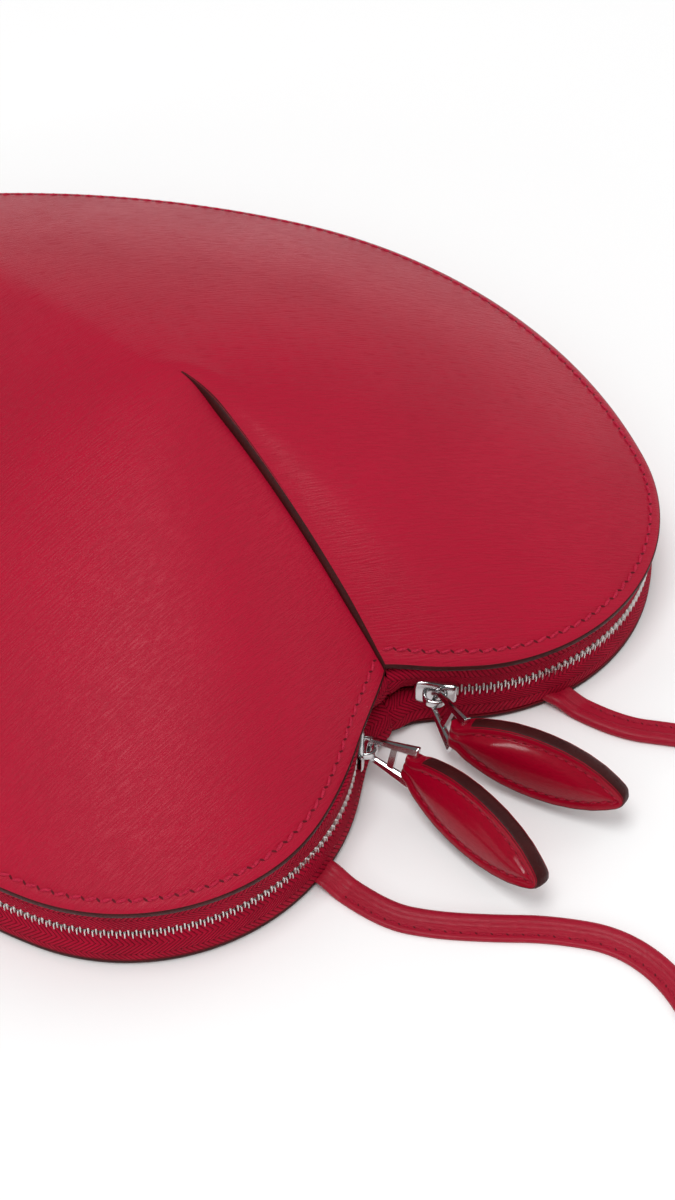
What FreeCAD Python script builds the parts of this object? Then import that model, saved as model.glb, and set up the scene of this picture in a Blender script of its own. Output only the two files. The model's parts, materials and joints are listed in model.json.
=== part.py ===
"""A heart shaped leather purse with a twin-slider zip, lying on its back.

The purse lies with its back panel on the ground, +Z up through the front panel,
the notch of the heart towards -Y and the tip towards +Y.  The origin is on the back face,
midway between the centres of the two lobes.  Millimetres and degrees throughout.
"""
import FreeCAD, Part
import math
import os

from FreeCAD import Placement, Rotation, Vector

SIZES = [
    # Outline of the two panels: tangent arcs on each side of the axis.
    ("lobe_radius", 54.5),
    ("lobe_offset", 52.0),
    ("shoulder_radius", 145.0),
    ("flank_radius", 262.0),
    ("tip_radius", 14.0),
    ("notch_angle", 37),
    ("shoulder_angle", 25.0),
    ("flank_angle", 29.5),
    # Thickness through the rim and the dome of the darted front panel above it.
    ("rim_thickness", 22.0),
    ("leather", 1.6),
    ("lining", 0.7),
    ("lining_inset", 10.0),
    ("dome_height", 44.0),
    ("dart_length", 75.5),
    ("lip_height", 2.2),
    # Zip tapes, turned in under the panels, and the metal chain.
    ("gusset_notch_angle", 44),
    ("tape_inset", 1.8),
    ("tape", 0.7),
    ("tape_turn_in", 6.4),
    ("tape_end_gap", 0.15),
    ("tape_parting", 1.6),
    ("chain_lead_angle", 1),
    ("chain_width", 4.5),
    ("tooth_pitch", 1.8),
    ("tooth_width", 0.8),
    ("tooth_depth", 2.2),
    ("tooth_overlap", 0.9),
    ("stop_length", 1.6),
    ("stop_depth", 2.6),
    ("stop_clearance", 0.8),
    ("bottom_stop_length", 3.0),
    # Slider.
    ("slider_axis_gap", 13.714),
    ("slider_length", 10.5),
    ("slider_front_width", 8.8),
    ("slider_rear_width", 6.8),
    ("slider_gap", 3.2),
    ("slider_plate", 0.9),
    ("slider_slot", 2.2),
    ("slider_channel", 5.2),
    ("slider_mouth", 7.2),
    ("diamond_width", 2.6),
    ("diamond_length", 4.4),
    ("bail_width", 2.4),
    ("bail_length", 6.4),
    ("bail_wall", 1.1),
    ("bail_clearance", 0.3),
    # Pull frame and its leather drop.
    ("eye_diameter", 1.5),
    ("eye_lift", 1.3),
    ("pull_length", 12),
    ("pull_width", 10.4),
    ("pull_rail", 1.4),
    ("pull_thickness", 1.8),
    ("pull_clearance", 0.4),
    ("bar_diameter", 1.6),
    ("bar_clearance", 0.05),
    ("drop_length", 43.5),
    ("drop_width", 16.8),
    ("drop_leather", 1.6),
    ("drop_core", 1.6),
    ("drop_neck_width", 6.6),
    ("drop_neck_length", 3.6),
    ("drop_shoulder_start", 2.0),
    ("drop_shoulder_width", 10.0),
    ("drop_roll", 18.0),
    ("pull_heading_right", -105.0),
    ("pull_heading_left", -72.0),
    ("drop_heading_right", -68.0),
    ("drop_heading_left", -90.0),
    # Shoulder strap and the tabs that carry it.
    ("strap_width", 7.0),
    ("strap_thickness", 1.8),
    ("tab_angle", 104.0),
    ("tab_heading_right", -74.0),
    ("tab_heading_left", -80.0),
    ("tab_tail", 5.0),
    ("tab_reach", 10.0),
    ("tab_slope", 3.6),
    ("tab_clearance", 0.15),
    ("tab_lead", 10.0),
]

# Heights of the dome's cross-sections: each is the rim outline drawn in towards the dart's end by its share.
DOME_SECTION_SHARES = (1.0, 0.7, 0.4, 0.18, 0.08)
DOME_CROWN_SHARE = 0.45
LINING_SHARE = 0.9
# Steps round the notch line, lobe, shoulder, flank and tip of each half of the domed panel.
RIM_STEPS = (1, 16, 8, 9, 3)
LIP_TAPER_SHARE = 0.4
LIP_REACH_SHARE = 0.65
# The leaf of a drop is widest at this share of its length.
DROP_BELLY_SHARE = 0.47
DROP_FLANK_SHARES = (0.22, 0.78)
DROP_FLANK_WIDTH_SHARES = (0.83, 0.66)

# Route of the strap on the ground, from ahead of the right tab's end to ahead of the left tab's end.
STRAP_ROUTE = [
    (53.0, -80.5),
    (64.0, -95.0),
    (78.0, -112.0),
    (95.0, -134.0),
    (110.0, -164.0),
    (115.0, -200.0),
    (105.0, -234.0),
    (80.0, -259.0),
    (46.0, -268.0),
    (13.0, -260.0),
    (-12.0, -237.0),
    (-22.0, -206.0),
    (-18.0, -174.0),
    (-7.0, -149.0),
    (1.5, -130.0),
    (0.5, -113.0),
    (-9.5, -99.5),
    (-20.0, -89.8),
    (-29.3, -80.2),
]

SIDES = {"right": 1, "left": -1}

doc = FreeCAD.newDocument("heart_purse")
dims = doc.addObject("Spreadsheet::Sheet", "dims")
for row, (alias, value) in enumerate(SIZES, start=1):
    dims.set(f"A{row}", alias)
    dims.set(f"B{row}", str(value))
    dims.setAlias(f"B{row}", alias)
doc.recompute()


def size(alias):
    """Read one driving dimension from the sheet."""
    return float(dims.get(alias))


def polar(centre, radius, angle):
    """Point at an angle in degrees on a circle in the ground plane."""
    turn = math.radians(angle)
    return centre + Vector(radius * math.cos(turn), radius * math.sin(turn), 0)


# Edges are tuples of points: two for a line, three for an arc.
def arc(centre, radius, first, last):
    """Arc edge between two angles."""
    return (polar(centre, radius, first), polar(centre, radius, (first + last) / 2), polar(centre, radius, last))


def mirrored(edges):
    """The same run of edges on the other side of the axis, in the same order."""
    return [tuple(Vector(-point.x, point.y, point.z) for point in edge) for edge in edges]


def reverse(edges):
    """The same run of edges walked the other way."""
    return [tuple(reversed(edge)) for edge in reversed(edges)]


def curves(edges):
    """Geometry of a run of edges."""
    return [Part.LineSegment(*edge) if len(edge) == 2 else Part.Arc(*edge) for edge in edges]


def polygon(corners):
    """Closed run of straight edges through (x, y) corners."""
    points = [Vector(x, y, 0) for x, y in corners]
    return list(zip(points, points[1:] + points[:1]))


class Heart:
    """The right half of the heart at an inset from the panels' edge."""

    def __init__(self, inset, notch_angle):
        self.lobe_centre = Vector(size("lobe_offset"), 0, 0)
        self.lobe_radius = size("lobe_radius") - inset
        self.lobe_start = -90 - notch_angle
        self.lobe_end = -size("shoulder_angle")
        inward = size("lobe_radius") - size("shoulder_radius")
        self.shoulder_centre = polar(self.lobe_centre, inward, self.lobe_end)
        self.shoulder_radius = size("shoulder_radius") - inset
        self.shoulder_end = size("flank_angle")
        inward = size("shoulder_radius") - size("flank_radius")
        self.flank_centre = polar(self.shoulder_centre, inward, self.shoulder_end)
        self.flank_radius = size("flank_radius") - inset
        # The tip's arc is centred on the axis and touches both flanks from inside.
        reach = size("flank_radius") - size("tip_radius")
        rise = math.sqrt(reach ** 2 - self.flank_centre.x ** 2)
        self.tip_centre = Vector(0, self.flank_centre.y + rise, 0)
        self.tip_radius = size("tip_radius") - inset
        self.flank_end = math.degrees(math.atan2(rise, -self.flank_centre.x))
        # The notch is where the straight run from the lobe meets the axis.
        self.lobe_first = polar(self.lobe_centre, self.lobe_radius, self.lobe_start)
        slope = math.tan(math.radians(notch_angle))
        self.notch = Vector(0, self.lobe_first.y + self.lobe_first.x * slope, 0)
        self.slope = slope

    def notch_line(self, gap=0.0):
        """Straight run from beside the axis to the start of the lobe."""
        return [(Vector(gap, self.notch.y - gap * self.slope, 0), self.lobe_first)]

    def lobe(self, first=None):
        """Lobe arc, whole or from an angle on."""
        start = self.lobe_start if first is None else first
        return [arc(self.lobe_centre, self.lobe_radius, start, self.lobe_end)]

    def lobe_up_to(self, last):
        """Start of the lobe arc, as far as an angle."""
        return [arc(self.lobe_centre, self.lobe_radius, self.lobe_start, last)]

    def shoulder(self):
        """Arc from the lobe to the flank."""
        return [arc(self.shoulder_centre, self.shoulder_radius, self.lobe_end, self.shoulder_end)]

    def flank(self):
        """Long arc down to the tip."""
        return [arc(self.flank_centre, self.flank_radius, self.shoulder_end, self.flank_end)]

    def tip(self):
        """Half of the tip's arc."""
        return [arc(self.tip_centre, self.tip_radius, self.flank_end, 90)]

    def outline(self):
        """The whole closed heart, from the notch round to the notch."""
        half = self.notch_line() + self.lobe() + self.shoulder() + self.flank() + self.tip()
        return half + reverse(mirrored(half))


def strip(outer, inner):
    """Closed profile between two runs of edges."""
    ends = (outer[-1][-1], inner[-1][-1])
    starts = (inner[0][0], outer[0][0])
    return outer + [ends] + reverse(inner) + [starts]


def on_side(edges, side):
    """A profile on the right as it is, or mirrored to the left."""
    return edges if SIDES[side] > 0 else mirrored(edges)


nodes = []


def new_body(label):
    """A sub-part made of sketched features."""
    body = doc.addObject("PartDesign::Body", label)
    body.Label = label
    nodes.append(body)
    return body


def new_feature(label, shape, placement=None):
    """A sub-part whose shape is worked out here from the sheet."""
    feature = doc.addObject("Part::Feature", label)
    feature.Label = label
    feature.Shape = shape
    if placement is not None:
        feature.Placement = placement
    nodes.append(feature)
    return feature


def sketch(body, edges, plane="XY_Plane", height=None, tilt=0.0):
    """A sketch on one of the body's planes, at a height bound to the sheet, or tilted about its X axis."""
    profile = body.newObject("Sketcher::SketchObject", body.Label + "_sketch")
    support = [datum for datum in body.Origin.OriginFeatures if datum.Role == plane][0]
    profile.AttachmentSupport = [(support, "")]
    profile.MapMode = "FlatFace"
    profile.AttachmentOffset = Placement(Vector(), Rotation(Vector(1, 0, 0), tilt))
    if height:
        profile.setExpression("AttachmentOffset.Base.z", height)
    profile.addGeometry(curves(edges), False)
    doc.recompute()
    return profile


def pad(body, profile, length, symmetric=False):
    """Add material along the sketch's normal, by a length bound to the sheet."""
    feature = body.newObject("PartDesign::Pad", body.Label + "_pad")
    feature.Profile = profile
    feature.SideType = "Symmetric" if symmetric else "One side"
    feature.setExpression("Length", length)
    doc.recompute()
    return feature


def pocket(body, profile, length):
    """Cut material on both sides of the sketch, by a whole length bound to the sheet."""
    before = body.Shape.Volume
    feature = body.newObject("PartDesign::Pocket", body.Label + "_pocket")
    feature.Profile = profile
    feature.SideType = "Symmetric"
    feature.setExpression("Length", length)
    doc.recompute()
    if body.Shape.Volume >= before:
        raise RuntimeError(f"a pocket of {body.Label} cuts nothing")
    return feature


# Levels above the ground, as expressions on the sheet.
MID = "dims.rim_thickness / 2"
FRONT_UNDERSIDE = "dims.rim_thickness - dims.leather"
TAPE_REACH = "(dims.rim_thickness / 2 - dims.leather - dims.chain_width / 2)"


def mid_level():
    """Height of the middle of the chain."""
    return size("rim_thickness") / 2


def make_back_panel():
    """Flat back panel and the lining glued inside it."""
    back = new_body("back_panel")
    pad(back, sketch(back, Heart(0, size("notch_angle")).outline()), "dims.leather")
    lining = new_body("back_lining")
    inner = gusset(size("lining_inset")).outline()
    pad(lining, sketch(lining, inner, height="dims.leather"), "dims.lining")


def dart_end():
    """Ground point under the end of the dart, on the axis."""
    return Heart(0, size("notch_angle")).notch + Vector(0, size("dart_length"), 0)


def dome_rise(share):
    """Height above the rim of the cross-section with this share of the rim's size."""
    return size("dome_height") * (1 - share) * (1 + DOME_CROWN_SHARE * share)


def rim_points():
    """Points round the right half of the rim, from the notch to the tip, close enough together to read as a curve."""
    heart = Heart(0, size("notch_angle"))
    half = heart.notch_line() + heart.lobe() + heart.shoulder() + heart.flank() + heart.tip()
    points = [heart.notch]
    for edge, steps in zip(half, RIM_STEPS):
        curve = curves([edge])[0]
        span = curve.LastParameter - curve.FirstParameter
        points += [curve.value(curve.FirstParameter + span * step / steps) for step in range(1, steps + 1)]
    return points


def section(share, height):
    """Right half of a cross-section of the dome: the rim drawn in towards the dart's end, at a height."""
    centre = dart_end()
    return [centre + (point - centre) * share + Vector(0, 0, height) for point in rim_points()]


def across(points):
    """The same points on the left half."""
    return [Vector(-point.x, point.y, point.z) for point in points]


def flat(points):
    """Flat face through corners."""
    return Part.Face(Part.makePolygon(list(points) + [points[0]]))


def band(lower, upper):
    """Flat faces between the matching points of two cross-sections."""
    corners = zip(lower, lower[1:], upper[1:], upper)
    return [flat(four) for four in corners]


def both_halves(lower, upper):
    """Flat faces between two cross-sections, right and left."""
    return band(lower, upper) + band(across(lower), across(upper))


def ring(half):
    """Corners of a whole cross-section."""
    return half + list(reversed(across(half)))[1:-1]


def sewn(faces):
    """Solid inside a closed set of faces."""
    shell = Part.makeShell(faces)
    shell.sewShape()
    solid = Part.makeSolid(shell)
    if solid.Volume < 0:
        solid.reverse()
    return solid


def lapped(share, height):
    """Right half of a cross-section whose edge along the dart stands proud of the left half's."""
    half = section(share, height)
    last = DOME_SECTION_SHARES[-1]
    lift = size("lip_height") * min(1.0, (share - last) / (LIP_TAPER_SHARE - last))
    beside = half[0] + (half[1] - half[0]) * LIP_REACH_SHARE
    return [half[0] + Vector(0, 0, lift), beside] + half[1:]


def lapped_panel(underside, rim):
    """Domed leather: the right half laps over the left half along the dart from the notch to the top."""
    heights = [rim + dome_rise(share) for share in DOME_SECTION_SHARES]
    laps = [lapped(share, height) for share, height in zip(DOME_SECTION_SHARES, heights)]
    plain = [section(share, height) for share, height in zip(DOME_SECTION_SHARES, heights)]
    inner = [section(share, height + underside - rim) for share, height in zip(DOME_SECTION_SHARES, heights)]
    faces = [flat(ring(inner[-1])), flat(laps[-1][:2] + ring(plain[-1])[1:])]
    for low in range(len(heights) - 1):
        high = low + 1
        foot, crest, beside = plain[low][0], laps[low][0], laps[low][1]
        faces += both_halves(inner[low], inner[high])
        faces += band(across(plain[low]), across(plain[high])) + band(laps[low][1:], laps[high][1:])
        # The lip's own faces twist from one cross-section to the next.
        faces += [flat((crest, beside, laps[high][1])), flat((crest, laps[high][1], laps[high][0]))]
        faces.append(flat((foot, crest, laps[high][0])))
        if high < len(heights) - 1:
            faces.append(flat((foot, laps[high][0], plain[high][0])))
    faces += band(inner[0][1:], plain[0][1:]) + band(across(inner[0]), across(plain[0]))
    faces.append(flat((inner[0][0], inner[0][1], plain[0][1], laps[0][1], laps[0][0], plain[0][0])))
    return sewn(faces)


def dome_lining(top, bottom):
    """Thin dome under the panel, from inside its seam up to the top."""
    shares = (LINING_SHARE,) + DOME_SECTION_SHARES[1:]
    rises = [dome_rise(share) for share in shares]
    # Between the rim and the next cross-section the panel's underside is straight.
    rises[0] = rises[1] * (1 - shares[0]) / (1 - shares[1])
    upper = [section(share, top + rise) for share, rise in zip(shares, rises)]
    lower = [section(share, bottom + rise) for share, rise in zip(shares, rises)]
    faces = [flat(ring(upper[-1])), flat(ring(lower[-1]))] + both_halves(lower[0], upper[0])
    for index in range(len(shares) - 1):
        faces += both_halves(upper[index], upper[index + 1]) + both_halves(lower[index], lower[index + 1])
    return sewn(faces)


def make_front_panel():
    """Domed front panel with its lapped dart, and the lining under it."""
    rim = size("rim_thickness")
    underside = rim - size("leather")
    new_feature("front_panel", lapped_panel(underside, rim))
    new_feature("front_lining", dome_lining(underside, underside - size("lining")))


def tape_insets():
    """Insets of the tape's outer face, its inner face and the edge of the turned-in part."""
    outer = size("tape_inset")
    inner = outer + size("tape")
    return outer, inner, inner + size("tape_turn_in")


def gusset(inset):
    """Heart followed by the zip tapes."""
    return Heart(inset, size("gusset_notch_angle"))


def slider_angle():
    """Angle at rest of a slider round its lobe, from its distance to the axis."""
    heart = gusset(size("tape_inset") + size("tape") / 2)
    return 180 - math.degrees(math.acos((heart.lobe_centre.x - size("slider_axis_gap")) / heart.lobe_radius))


def parting_angle():
    """Angle on the lobe where the two tapes part, inside the slider's rear half and past the lobe's start."""
    quarter = math.degrees(size("slider_length") / 4 / size("lobe_radius"))
    return max(-slider_angle() + quarter, gusset(0).lobe_start + size("chain_lead_angle"))


def notch_run(inset):
    """Tape from the axis to where the chain begins."""
    heart = gusset(inset)
    return heart.notch_line(size("tape_end_gap")) + heart.lobe_up_to(parting_angle())


def zip_run(inset):
    """Tape along the chain."""
    heart = gusset(inset)
    return heart.lobe(parting_angle()) + heart.shoulder()


def tab_foot(side):
    """Point of the tape's outer face where a strap tab comes out."""
    heart = gusset(size("tape_inset"))
    point = polar(heart.lobe_centre, heart.lobe_radius, -size("tab_angle"))
    return Vector(SIDES[side] * point.x, point.y, 0)


def tab_slot(side):
    """Ground outline of the opening that a strap tab passes through."""
    half = size("strap_width") / 2 + size("tab_clearance")
    back = -size("tab_tail") - size("tape_turn_in")
    corners = [(back, -half), (size("tab_reach"), -half), (size("tab_reach"), half), (back, half)]
    turn = Rotation(Vector(0, 0, 1), size("tab_heading_" + side))
    points = [tab_foot(side) + turn.multVec(Vector(x, y, 0)) for x, y in corners]
    return list(zip(points, points[1:] + points[:1]))


def make_tape(side, upper):
    """One of the four zip tapes: an upright web, shorter at the notch, and the part turned in under its panel."""
    outer, inner, edge = tape_insets()
    body = new_body(("upper" if upper else "lower") + "_tape_" + side)
    web = on_side(strip(zip_run(outer), zip_run(inner)), side)
    notch = on_side(strip(notch_run(outer), notch_run(inner)), side)
    heart_edge = notch_run(edge)[:-1] + gusset(edge).lobe() + gusset(edge).shoulder()
    heart_inner = notch_run(inner)[:-1] + gusset(inner).lobe() + gusset(inner).shoulder()
    turned = on_side(strip(heart_inner, heart_edge), side)
    if upper:
        web_foot = MID + " + dims.chain_width / 2"
        notch_foot = web_foot + " + dims.tape_parting"
        turned_foot = FRONT_UNDERSIDE + " - dims.tape"
    else:
        web_foot = notch_foot = turned_foot = "dims.leather"
    pad(body, sketch(body, web, height=web_foot), TAPE_REACH)
    pad(body, sketch(body, notch, height=notch_foot), TAPE_REACH + " - dims.tape_parting")
    pad(body, sketch(body, turned, height=turned_foot), "dims.tape")
    if not upper:
        slot = sketch(body, tab_slot(side), height="dims.leather")
        pocket(body, slot, "2 * (dims.strap_thickness + dims.tab_clearance)")


def chain_station(distance):
    """Point and heading on the chain's line, at a distance from where the tapes part."""
    middle = gusset(size("tape_inset") + size("tape") / 2)
    start = parting_angle()
    along = math.radians(middle.lobe_end - start) * middle.lobe_radius
    if distance < along:
        angle = start + math.degrees(distance / middle.lobe_radius)
        return polar(middle.lobe_centre, middle.lobe_radius, angle), angle + 90
    angle = middle.lobe_end + math.degrees((distance - along) / middle.shoulder_radius)
    return polar(middle.shoulder_centre, middle.shoulder_radius, angle), angle + 90


def chain_length():
    """Length of the chain, from where the tapes part to the end of the shoulder."""
    middle = gusset(size("tape_inset") + size("tape") / 2)
    lobe = math.radians(middle.lobe_end - parting_angle()) * middle.lobe_radius
    return lobe + math.radians(middle.shoulder_end - middle.lobe_end) * middle.shoulder_radius


def block_at(point, heading, side, length, depth, bottom, top):
    """Upright block centred on a point of the zip, its length along the heading."""
    block = Part.makeBox(length, depth, top - bottom, Vector(-length / 2, -depth / 2, bottom))
    flip = SIDES[side]
    turn = heading if flip > 0 else 180 - heading
    block.Placement = Placement(Vector(flip * point.x, point.y, 0), Rotation(Vector(0, 0, 1), turn))
    return block


def make_teeth(side, upper):
    """One row of metal teeth, clamped at the tape's edge and meshing with the opposite row."""
    half = size("chain_width") / 2
    pitch = size("tooth_pitch")
    mid = mid_level()
    first = pitch / 2 if upper else pitch
    last = chain_length() - size("bottom_stop_length") - size("stop_clearance")
    count = int((last - first) / pitch)
    bottom, top = (mid - size("tooth_overlap"), mid + half) if upper else (mid - half, mid + size("tooth_overlap"))
    teeth = []
    for index in range(count):
        point, heading = chain_station(first + index * pitch)
        teeth.append(block_at(point, heading, side, size("tooth_width"), size("tooth_depth"), bottom, top))
    new_feature(("upper" if upper else "lower") + "_teeth_" + side, Part.makeCompound(teeth))


def make_stops(side):
    """Top stops beside the slider's mouth and the bottom stop at the chain's end."""
    mid = mid_level()
    edge = size("chain_width") / 2 + size("tape_parting")
    heart = gusset(size("tape_inset") + size("tape") / 2)
    line_start, line_end = heart.notch_line()[0]
    along = (line_end - line_start).normalize()
    rest = math.radians(slider_angle() + heart.lobe_start) * heart.lobe_radius
    back = rest + size("slider_length") / 2 + size("stop_clearance") + size("stop_length") / 2
    place = (line_end - along * back, -size("gusset_notch_angle"))
    blocks = [block_at(*place, side, size("stop_length"), size("stop_depth"), bottom, bottom + size("stop_length"))
              for bottom in (mid + edge - size("stop_length"), mid - edge)]
    new_feature("top_stops_" + side, Part.makeCompound(blocks))
    place = chain_station(chain_length() - size("bottom_stop_length") / 2 - size("tape_end_gap"))
    half = size("chain_width") / 2
    new_feature("bottom_stop_" + side, block_at(*place, side, size("bottom_stop_length"), size("stop_depth"),
                                                mid - half, mid + half))


def make_base_gusset():
    """Leather wall round the tip, from the end of one zip to the end of the other."""
    outer, inner, _ = tape_insets()
    runs = []
    for inset in (outer, outer + size("leather")):
        heart = gusset(inset)
        half = heart.flank() + heart.tip()
        runs.append(half + reverse(mirrored(half)))
    body = new_body("base_gusset")
    wall = sketch(body, strip(*runs), height="dims.leather")
    pad(body, wall, "dims.rim_thickness - 2 * dims.leather")


def slider_frame(side):
    """Placement of a slider: X along its travel, Y inwards, Z across the tapes."""
    heart = gusset(size("tape_inset") + size("tape") / 2)
    point = polar(heart.lobe_centre, heart.lobe_radius, -slider_angle())
    heading = 90 - slider_angle()
    if SIDES[side] > 0:
        return Placement(Vector(point.x, point.y, mid_level()), Rotation(Vector(0, 0, 1), heading))
    turn = Rotation(Vector(0, 0, 1), 180 - heading).multiply(Rotation(Vector(1, 0, 0), 180))
    return Placement(Vector(-point.x, point.y, mid_level()), turn)


def make_slider(side):
    """Slider body: two plates joined by the diamond, with a forked channel and slots for the tapes."""
    end = size("slider_length") / 2
    front, rear = size("slider_front_width") / 2, size("slider_rear_width") / 2
    channel, mouth = size("slider_channel") / 2, size("slider_mouth") / 2
    diamond = size("diamond_width") / 2
    point = size("diamond_length") - end
    neck = front - rear
    body = new_body("slider_" + side)
    outline = polygon([(-end, -front + neck / 2), (-end + neck / 2, -front), (-neck / 2, -front), (neck, -rear),
                       (end, -rear), (end, rear), (neck, rear), (-neck / 2, front), (-end + neck / 2, front),
                       (-end, front - neck / 2)])
    pad(body, sketch(body, outline, plane="XZ_Plane"), "dims.slider_gap + 2 * dims.slider_plate", True)
    past = size("slider_length")
    fork = polygon([(past, -channel), (0, -channel), (-neck, -mouth), (-past, -mouth), (-past, -diamond),
                    (point - diamond * 2, -diamond), (point, 0), (point - diamond * 2, diamond), (-past, diamond),
                    (-past, mouth), (-neck, mouth), (0, channel), (past, channel)])
    pocket(body, sketch(body, fork, plane="XZ_Plane"), "dims.slider_gap")
    slots = []
    for sign in (1, -1):
        slots += polygon([(-past, sign * diamond), (past, sign * diamond), (past, sign * past), (-past, sign * past)])
    pocket(body, sketch(body, slots, plane="XZ_Plane"), "dims.slider_slot")
    body.Placement = slider_frame(side)


def slider_face():
    """Distance from the chain's line out to the slider's outer face."""
    return size("slider_gap") / 2 + size("slider_plate")


def make_bail(side):
    """Arched bail on the slider's outer plate, which holds the pull's eye."""
    face = slider_face()
    half = size("bail_length") / 2
    eye = size("eye_diameter") / 2
    roof = face + size("eye_lift") + eye + size("bail_clearance")
    top = roof + size("bail_wall")
    opening = half - size("bail_wall")
    shoulder = size("bail_wall")
    body = new_body("bail_" + side)
    arch = polygon([(-half, -face), (-half, -top + shoulder), (-half + shoulder, -top), (half - shoulder, -top),
                    (half, -top + shoulder), (half, -face), (opening, -face), (opening, -roof), (-opening, -roof),
                    (-opening, -face)])
    pad(body, sketch(body, arch), "dims.bail_width", True)
    body.Placement = slider_frame(side)


def pull_frame(side):
    """Placement of a pull: its eye on Z, X along the pull."""
    eye = slider_frame(side).multVec(Vector(0, -slider_face() - size("eye_lift"), 0))
    return Placement(eye, Rotation(Vector(0, 0, 1), size("pull_heading_" + side)))


def pull_corners():
    """Half height of the pull's window at its eye and at its end bar."""
    return size("bail_width") / 2 + size("pull_clearance"), size("pull_width") / 2 - size("pull_rail")


def make_pull(side):
    """Open trapezium pull: two diverging rails between a round eye and a round end bar."""
    narrow, wide = pull_corners()
    rail = size("pull_rail")
    start = -size("pull_thickness") / 2
    end = size("pull_length") - start
    body = new_body("pull_" + side)
    rails = []
    for sign in (1, -1):
        rails += polygon([(start, sign * narrow), (end, sign * wide), (end, sign * (wide + rail)),
                          (start, sign * (narrow + rail))])
    pad(body, sketch(body, rails, plane="XZ_Plane"), "dims.pull_thickness", True)
    eye_span = "dims.bail_width + 2 * dims.pull_clearance + dims.pull_rail"
    bar = Vector(size("pull_length"), 0, 0)
    ends = ((Vector(), "eye_diameter", eye_span), (bar, "bar_diameter", "dims.pull_width - dims.pull_rail"))
    for place, diameter, span in ends:
        circle = body.newObject("Sketcher::SketchObject", body.Label + "_bar")
        support = [datum for datum in body.Origin.OriginFeatures if datum.Role == "XY_Plane"][0]
        circle.AttachmentSupport = [(support, "")]
        circle.MapMode = "FlatFace"
        circle.addGeometry(Part.Circle(place, Vector(0, 0, 1), size(diameter) / 2), False)
        doc.recompute()
        pad(body, circle, span, True)
    body.Placement = pull_frame(side)


def drop_frame(side):
    """Placement of a drop: the pull's end bar on Z, X along the drop."""
    bar = pull_frame(side).multVec(Vector(size("pull_length"), 0, 0))
    return Placement(bar, Rotation(Vector(0, 0, 1), size("drop_heading_" + side)))


def leaf(start):
    """Pointed leaf outline of a drop, from a distance beyond the bar."""
    length, half = size("drop_length"), size("drop_width") / 2
    shoulder = size("drop_shoulder_width") / 2
    near, far = DROP_FLANK_SHARES
    near_width, far_width = DROP_FLANK_WIDTH_SHARES
    upper = [(Vector(start, shoulder, 0), Vector(length * near, half * near_width, 0),
              Vector(length * DROP_BELLY_SHARE, half, 0)),
             (Vector(length * DROP_BELLY_SHARE, half, 0), Vector(length * far, half * far_width, 0),
              Vector(length, 0, 0))]
    lower = [tuple(Vector(point.x, -point.y, 0) for point in edge) for edge in upper]
    return upper + reverse(lower) + [(lower[0][0], upper[0][0])]


def make_drop(side):
    """Leather drop: one piece folded round the pull's bar, and the core between its two leaves."""
    half = size("drop_leather") + size("drop_core") / 2
    bore = size("bar_diameter") / 2 + size("bar_clearance")
    neck = size("drop_neck_length")
    # The upper edge leans back, so that the face towards the notch looks up.
    tilt = -size("drop_roll")
    fold = [(Vector(neck, -half, 0), Vector(0, -half, 0)),
            (Vector(0, -half, 0), Vector(-half, 0, 0), Vector(0, half, 0)),
            (Vector(0, half, 0), Vector(neck, half, 0)),
            (Vector(neck, half, 0), Vector(neck, bore, 0)),
            (Vector(neck, bore, 0), Vector(0, bore, 0)),
            (Vector(0, bore, 0), Vector(-bore, 0, 0), Vector(0, -bore, 0)),
            (Vector(0, -bore, 0), Vector(neck, -bore, 0)),
            (Vector(neck, -bore, 0), Vector(neck, -half, 0))]
    body = new_body("drop_leather_" + side)
    pad(body, sketch(body, fold), "dims.drop_neck_width", True)
    whole = leaf(size("drop_shoulder_start"))
    pad(body, sketch(body, whole, plane="XZ_Plane", tilt=tilt), "2 * dims.drop_leather + dims.drop_core", True)
    between = polygon([(size("drop_shoulder_start") / 2, -size("drop_width")),
                       (size("drop_length") * 2, -size("drop_width")),
                       (size("drop_length") * 2, size("drop_width")),
                       (size("drop_shoulder_start") / 2, size("drop_width"))])
    pocket(body, sketch(body, between, plane="XZ_Plane", tilt=tilt), "dims.drop_core")
    body.Placement = drop_frame(side)
    core = new_body("drop_core_" + side)
    pad(core, sketch(core, leaf(neck), plane="XZ_Plane", tilt=tilt), "dims.drop_core", True)
    core.Placement = drop_frame(side)


def tab_end(side, lead=0.0):
    """Ground point where a tab hands over to the strap's free stretch, or a lead straight on from it."""
    turn = Rotation(Vector(0, 0, 1), size("tab_heading_" + side))
    return tab_foot(side) + turn.multVec(Vector(size("tab_reach") + lead, 0, 0))


def make_tab(side):
    """Sewn end of the strap: out between the lower tape and the back panel, then down to the ground."""
    thick = size("strap_thickness")
    base = size("leather")
    # The tab stays level until both its edges are past the back panel.
    out = 180 - size("tab_angle") if SIDES[side] < 0 else size("tab_angle")
    slant = abs(math.radians(out + size("tab_heading_" + side)))
    crest = (size("tape_inset") + size("tab_clearance")) / math.cos(slant) + size("strap_width") / 2 * math.tan(slant)
    reach, landing = size("tab_reach"), crest + size("tab_slope")
    body = new_body("strap_tab_" + side)
    profile = polygon([(-size("tab_tail"), base), (crest, base), (landing, 0), (reach, 0), (reach, thick),
                       (landing, thick), (crest, base + thick), (-size("tab_tail"), base + thick)])
    pad(body, sketch(body, profile, plane="XZ_Plane"), "dims.strap_width", True)
    body.Placement = Placement(tab_foot(side), Rotation(Vector(0, 0, 1), size("tab_heading_" + side)))


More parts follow.
